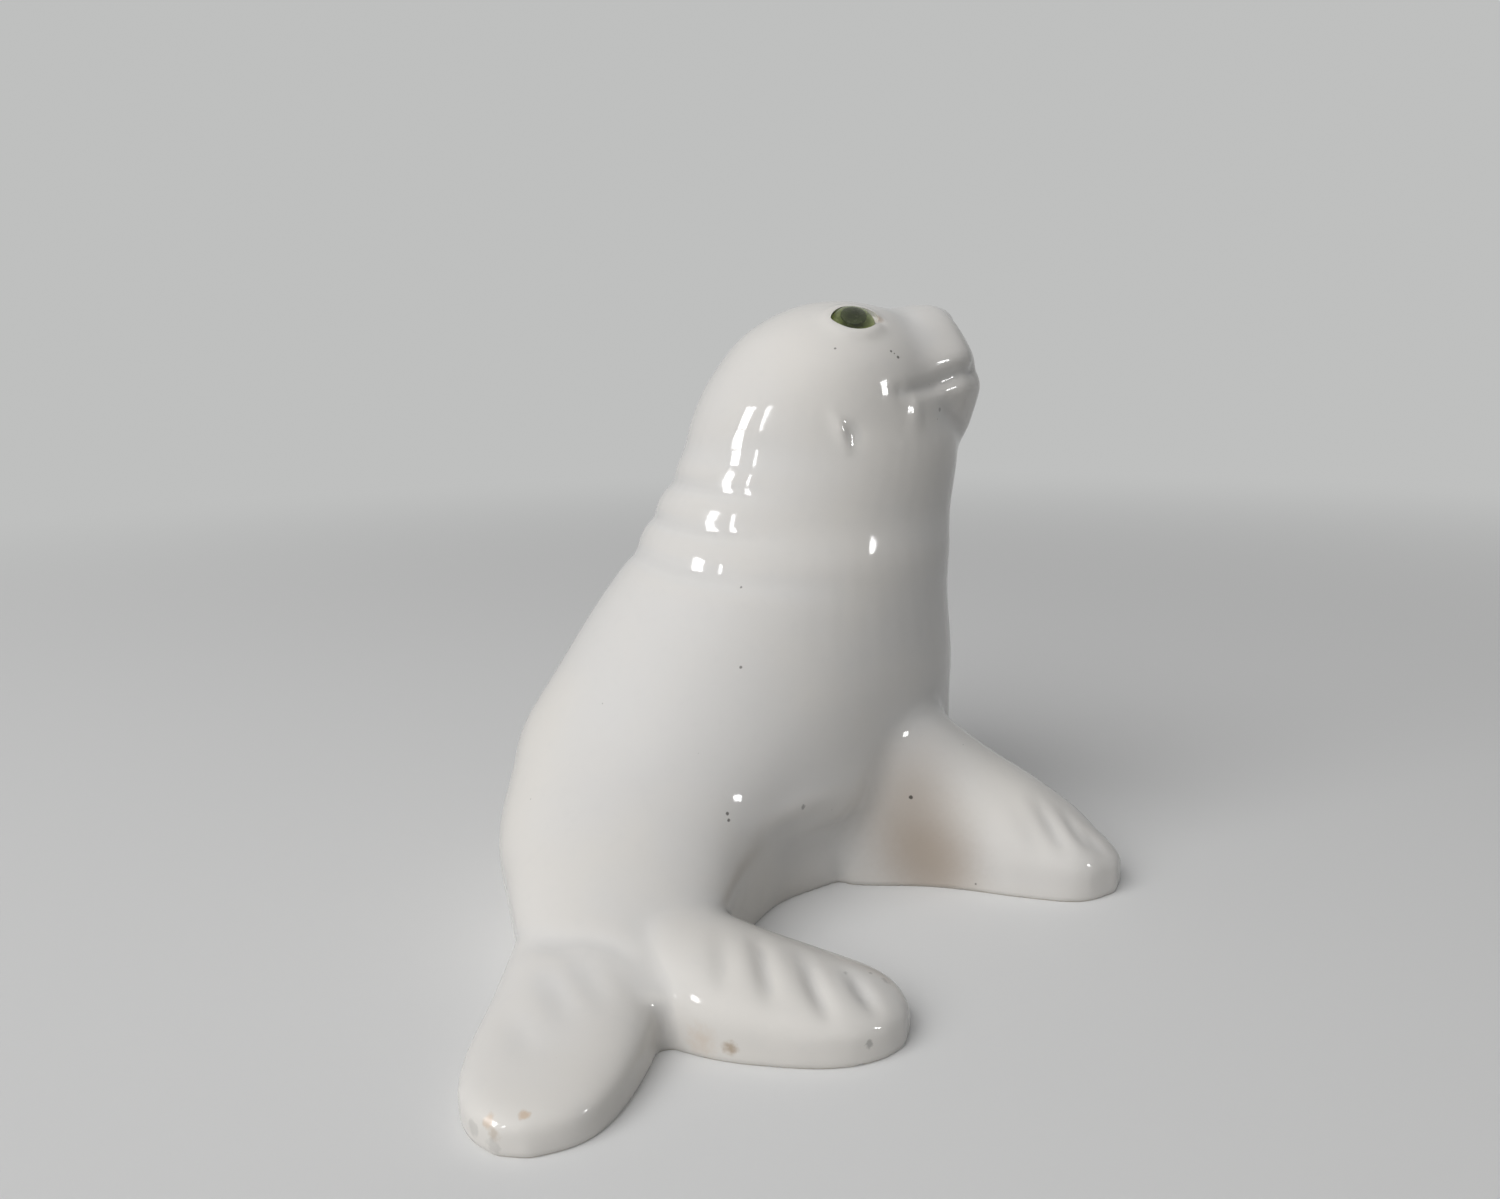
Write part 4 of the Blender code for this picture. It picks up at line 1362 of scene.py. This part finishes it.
    def build(self, effects: SharedEffects) -> bpy.types.Material:
        """Build the material.

        Args:
            effects: The shared node groups.

        Returns:
            The material.
        """
        sheet = MaterialSheet("white_glaze")
        tone = sheet.noise(self.tone_scale, 3.0)
        colour = sheet.blend(sheet.ramp(tone, 0.35, 0.65), self.cool, self.warm)
        relief = sheet.add("ShaderNodeAttribute", attribute_name="relief").outputs["Fac"]
        # Painted shade in the grooves, together with glaze pooled there: low relief darkens towards the grey.
        colour = sheet.blend(sheet.ramp(relief, 0.45, 0.0, 0.0, 0.35), colour, self.pooled_and_shade)
        colour = sheet.blend(sheet.ramp(relief, 0.55, 1.0, 0.0, 0.4), colour, self.thin)
        mottle = sheet.noise(self.mottle_scale, 5.0)
        colour = sheet.blend(sheet.ramp(mottle, 0.5, 0.8, 0.0, 0.12), colour, self.pooled_and_shade)
        colour, worn = self.lay_patches(sheet, effects, colour)
        dots = sheet.maths("MAXIMUM", sheet.specks(effects, self.specks), sheet.specks(effects, self.grains))
        colour = sheet.blend(dots, colour, self.speck)
        height = sheet.add("ShaderNodeSeparateXYZ", {"Vector": sheet.place}).outputs["Z"]
        bare = sheet.ramp(height, self.foot_height * self.foot_fade * MM, self.foot_height * MM)
        sand = sheet.noise(self.sand_scale, 3.0)
        body = sheet.blend(sheet.ramp(sand, 0.4, 0.7, 0.0, 0.5), self.bisque, self.pooled_and_shade)
        colour = sheet.blend(bare, colour, body)
        smear = sheet.noise(self.smear_scale, 4.0)
        rough = sheet.ramp(smear, 0.5, 0.75, self.roughness, self.roughness + self.smudge)
        rough = sheet.maths("ADD", rough, sheet.maths("MULTIPLY", worn, self.worn_roughness))
        rough = sheet.maths("MAXIMUM", rough, sheet.maths("MULTIPLY", bare, self.bisque_roughness))
        normal = sheet.normal(effects, self.waves, sheet.maths("MULTIPLY", dots, self.pit_depth))
        return sheet.finish({"Base Color": colour, "Roughness": rough, "Normal": normal})


@dataclass(frozen=True)
class GreenGlass:
    """Clear olive green glass of the domes."""

    light: Colour = (0.80, 0.86, 0.56)
    deep: Colour = (0.72, 0.79, 0.46)
    tone_scale: float = 240.0
    dust: Specks = Specks(700.0, 0.12, 0.1)
    waves: Waves = Waves(160.0, 900.0, 0.04, 0.02)
    roughness: float = 0.02
    dust_roughness: float = 0.25
    refraction: float = 1.5

    def build(self, effects: SharedEffects) -> bpy.types.Material:
        """Build the material from the shared node groups."""
        sheet = MaterialSheet("green_glass")
        tone = sheet.noise(self.tone_scale, 2.0)
        dust = sheet.specks(effects, self.dust)
        return sheet.finish({
            "Transmission Weight": 1.0,
            "IOR": self.refraction,
            "Base Color": sheet.blend(sheet.ramp(tone, 0.3, 0.7), self.light, self.deep),
            "Roughness": sheet.ramp(dust, 0.0, 1.0, self.roughness, self.dust_roughness),
            "Normal": sheet.normal(effects, self.waves),
        })


@dataclass(frozen=True)
class EyeEnamel:
    """Enamel behind the glass, with faint fibres that run out from the middle."""

    name: str
    inner: Colour
    outer: Colour
    reach: float
    fibre_scale: float = 900.0
    fibre_length: float = 1.2
    inner_share: float = 0.35
    grains: Specks = Specks(1400.0, 0.3, 0.3, 0.35)
    refraction: float = 1.5

    def build(self, effects: SharedEffects, seats: Sequence[EyeSeat]) -> bpy.types.Material:
        """Build the material.

        Args:
            effects: The shared node groups.
            seats: Where the eyes sit.

        Returns:
            The material.
        """
        sheet = MaterialSheet(self.name)
        gaps = []
        for seat in seats:
            centre = [value * MM for value in seat.centre()]
            gap = sheet.add("ShaderNodeVectorMath", {0: sheet.place, 1: centre}, operation="DISTANCE")
            gaps.append(gap.outputs["Value"])
        streak = sheet.noise(self.fibre_scale, 4.0)
        edge = sheet.maths("ADD", sheet.maths("MINIMUM", *gaps),
                           sheet.maths("MULTIPLY", streak, self.fibre_length * MM))
        colour = sheet.blend(sheet.ramp(edge, self.inner_share * self.reach * MM, self.reach * MM),
                             self.inner, self.outer)
        return sheet.finish({
            "IOR": self.refraction,
            "Base Color": sheet.blend(sheet.specks(effects, self.grains), colour, self.inner),
            "Roughness": sheet.ramp(streak, 0.3, 0.7, 0.18, 0.3),
        })


@dataclass(frozen=True)
class Lamp:
    """A rectangular lamp: direction from the object, distance, width, height and radiance.

    A window is seen only as a reflection in the gloss, and a soft lamp only lights.
    """

    name: str
    direction: Point
    distance: float
    width: float
    height: float
    radiance: float
    window: bool = True

    def build(self, target: Vector) -> None:
        """Add the lamp, turned towards a target."""
        data = bpy.data.lights.new(self.name, "AREA")
        data.shape = "RECTANGLE"
        data.size = self.width
        data.size_y = self.height
        data.energy = self.radiance * math.pi * self.width * self.height
        lamp = add_to_scene(self.name, data)
        lamp.location = target + Vector(self.direction).normalized() * self.distance
        lamp.rotation_euler = (target - lamp.location).to_track_quat("-Z", "Y").to_euler()
        lamp.visible_glossy = self.window
        lamp.visible_diffuse = not self.window


@dataclass(frozen=True)
class Studio:
    """Plain pale floor, soft lamps and the camera. Lengths here are in metres."""

    floor_radius: float = 4.0
    floor_sides: int = 96
    floor_inset: float = 0.6
    floor_roughness: float = 0.9
    floor_colour: Colour = (0.64, 0.64, 0.635)
    backdrop: Colour = (0.52, 0.525, 0.52)
    fade_start: float = 0.30
    fade_end: float = 1.1
    world_strength: float = 0.12
    floor_glow: float = 0.10
    world_colour: Colour = (0.97, 0.985, 1.0)
    target: Point = (-0.01, 0.02, 0.08)
    camera_place: Point = (-0.32089, 0.11267, 0.149)
    heading: float = -18.0
    pitch: float = -12.0
    roll: float = -1.2
    lens: float = 28.8
    sensor: float = 36.0
    lamps: tuple[Lamp, ...] = (
        Lamp("left_softbox", (-0.35, 0.62, 0.70), 2.2, 2.0, 2.0, 3.6, False),
        Lamp("upper_left_pane", (-0.19, 0.90, 0.46), 1.2, 0.10, 0.20, 24.0),
        Lamp("upper_right_pane", (-0.09, 0.90, 0.46), 1.2, 0.10, 0.20, 24.0),
        Lamp("lower_left_pane", (-0.19, 0.94, 0.28), 1.2, 0.10, 0.18, 24.0),
        Lamp("lower_right_pane", (-0.09, 0.94, 0.28), 1.2, 0.10, 0.18, 24.0),
        Lamp("narrow_window", (-0.46, 0.77, 0.42), 1.2, 0.06, 0.22, 18.0),
        Lamp("side_window", (-0.70, -0.66, 0.30), 1.3, 0.13, 0.16, 24.0),
    )

    def model_floor(self) -> None:
        """Model the floor, which fades into the backdrop with distance."""
        floor = start_disc("floor", self.floor_sides, self.floor_radius)
        bpy.ops.mesh.inset(thickness=self.floor_radius * self.floor_inset)
        bpy.ops.object.mode_set(mode="OBJECT")
        sheet = MaterialSheet("floor")
        seen = sheet.seen()
        sheet.fill(sheet.shader, {
            "Base Color": (*self.floor_colour, 1.0),
            "Roughness": self.floor_roughness,
            "Specular IOR Level": 0.0,
            "Emission Color": (1.0, 1.0, 1.0, 1.0),
            "Emission Strength": sheet.maths("MULTIPLY", seen, self.floor_glow),
        })
        gap = sheet.add("ShaderNodeVectorMath", {0: sheet.place}, operation="LENGTH").outputs["Value"]
        glow = sheet.add("ShaderNodeEmission", {
            "Color": (*self.backdrop, 1.0), "Strength": sheet.ramp(seen, 0.0, 1.0, self.world_strength, 1.0)})
        mix = sheet.add("ShaderNodeMixShader", {0: sheet.ramp(gap, self.fade_start, self.fade_end),
                                                1: sheet.shader.outputs["BSDF"], 2: glow.outputs["Emission"]})
        sheet.fill(sheet.tree.nodes["Material Output"], {"Surface": mix.outputs["Shader"]})
        floor.data.materials.append(sheet.material)

    def build_world(self) -> None:
        """Light the object evenly and show the plain backdrop to the camera."""
        world = bpy.data.worlds.new("studio")
        bpy.context.scene.world = world
        world.use_nodes = True
        sheet = NodeSheet(world.node_tree)
        world.node_tree.nodes.clear()
        light = sheet.add("ShaderNodeBackground", {"Color": (*self.world_colour, 1.0),
                                                   "Strength": self.world_strength})
        plain = sheet.add("ShaderNodeBackground", {"Color": (*self.backdrop, 1.0), "Strength": 1.0})
        mix = sheet.add("ShaderNodeMixShader", {0: sheet.seen(), 1: light.outputs["Background"],
                                                2: plain.outputs["Background"]})
        sheet.add("ShaderNodeOutputWorld", {"Surface": mix.outputs["Shader"]})

    def build_camera(self) -> None:
        """Set up the camera at the viewing angle."""
        heading, pitch, roll = (math.radians(angle) for angle in (self.heading, self.pitch, self.roll))
        forward = Vector((math.cos(heading) * math.cos(pitch), math.sin(heading) * math.cos(pitch),
                          math.sin(pitch)))
        level = Vector((math.sin(heading), -math.cos(heading), 0.0))
        upright = level.cross(forward)
        right = level * math.cos(roll) + upright * math.sin(roll)
        above = upright * math.cos(roll) - level * math.sin(roll)
        data = bpy.data.cameras.new("camera")
        data.sensor_fit = "HORIZONTAL"
        data.sensor_width = self.sensor
        data.lens = self.lens
        data.clip_start = 0.01
        camera = add_to_scene("camera", data)
        turn = Matrix((right, above, -forward)).transposed().to_4x4()
        camera.matrix_world = Matrix.Translation(Vector(self.camera_place)) @ turn
        bpy.context.scene.camera = camera

    def build(self) -> None:
        """Build the whole studio."""
        self.model_floor()
        self.build_world()
        for lamp in self.lamps:
            lamp.build(Vector(self.target))
        self.build_camera()
        bpy.context.scene.view_settings.view_transform = "Standard"


def dress(item: Item, material: bpy.types.Material) -> None:
    """Give a piece its finish and its body.

    Args:
        item: The piece.
        material: Its finish.
    """
    item.data.materials.clear()
    item.data.materials.append(material)
    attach(item, ROOT)
    LOG.info("%s: %d faces", item.name, len(item.data.polygons))


def main() -> None:
    """Build the figurine and the studio."""
    logging.basicConfig(level=logging.INFO)
    effects = SharedEffects()
    seats = [EyeSeat(side) for side in Side]
    eye = GlassEye()
    casting = SealBody()
    glass = GreenGlass().build(effects)
    iris = EyeEnamel("iris_enamel", (0.10, 0.12, 0.04), (0.36, 0.40, 0.18), 6.5).build(effects, seats)
    pupil = EyeEnamel("pupil_enamel", (0.020, 0.025, 0.010), (0.05, 0.06, 0.025), 4.0)
    pupil = pupil.build(effects, seats)
    body = casting.build(seats, eye)
    dress(body, WhiteGlaze().build(effects))
    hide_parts(casting.node)
    for seat in seats:
        dome = eye.model_glass(seat)
        dress(dome, glass)
        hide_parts(seat.node())
        dress(eye.model_iris(seat), iris)
        dress(eye.model_pupil(seat), pupil)
    Studio().build()
    deselect_all()


if __name__ == "__main__":
    main()
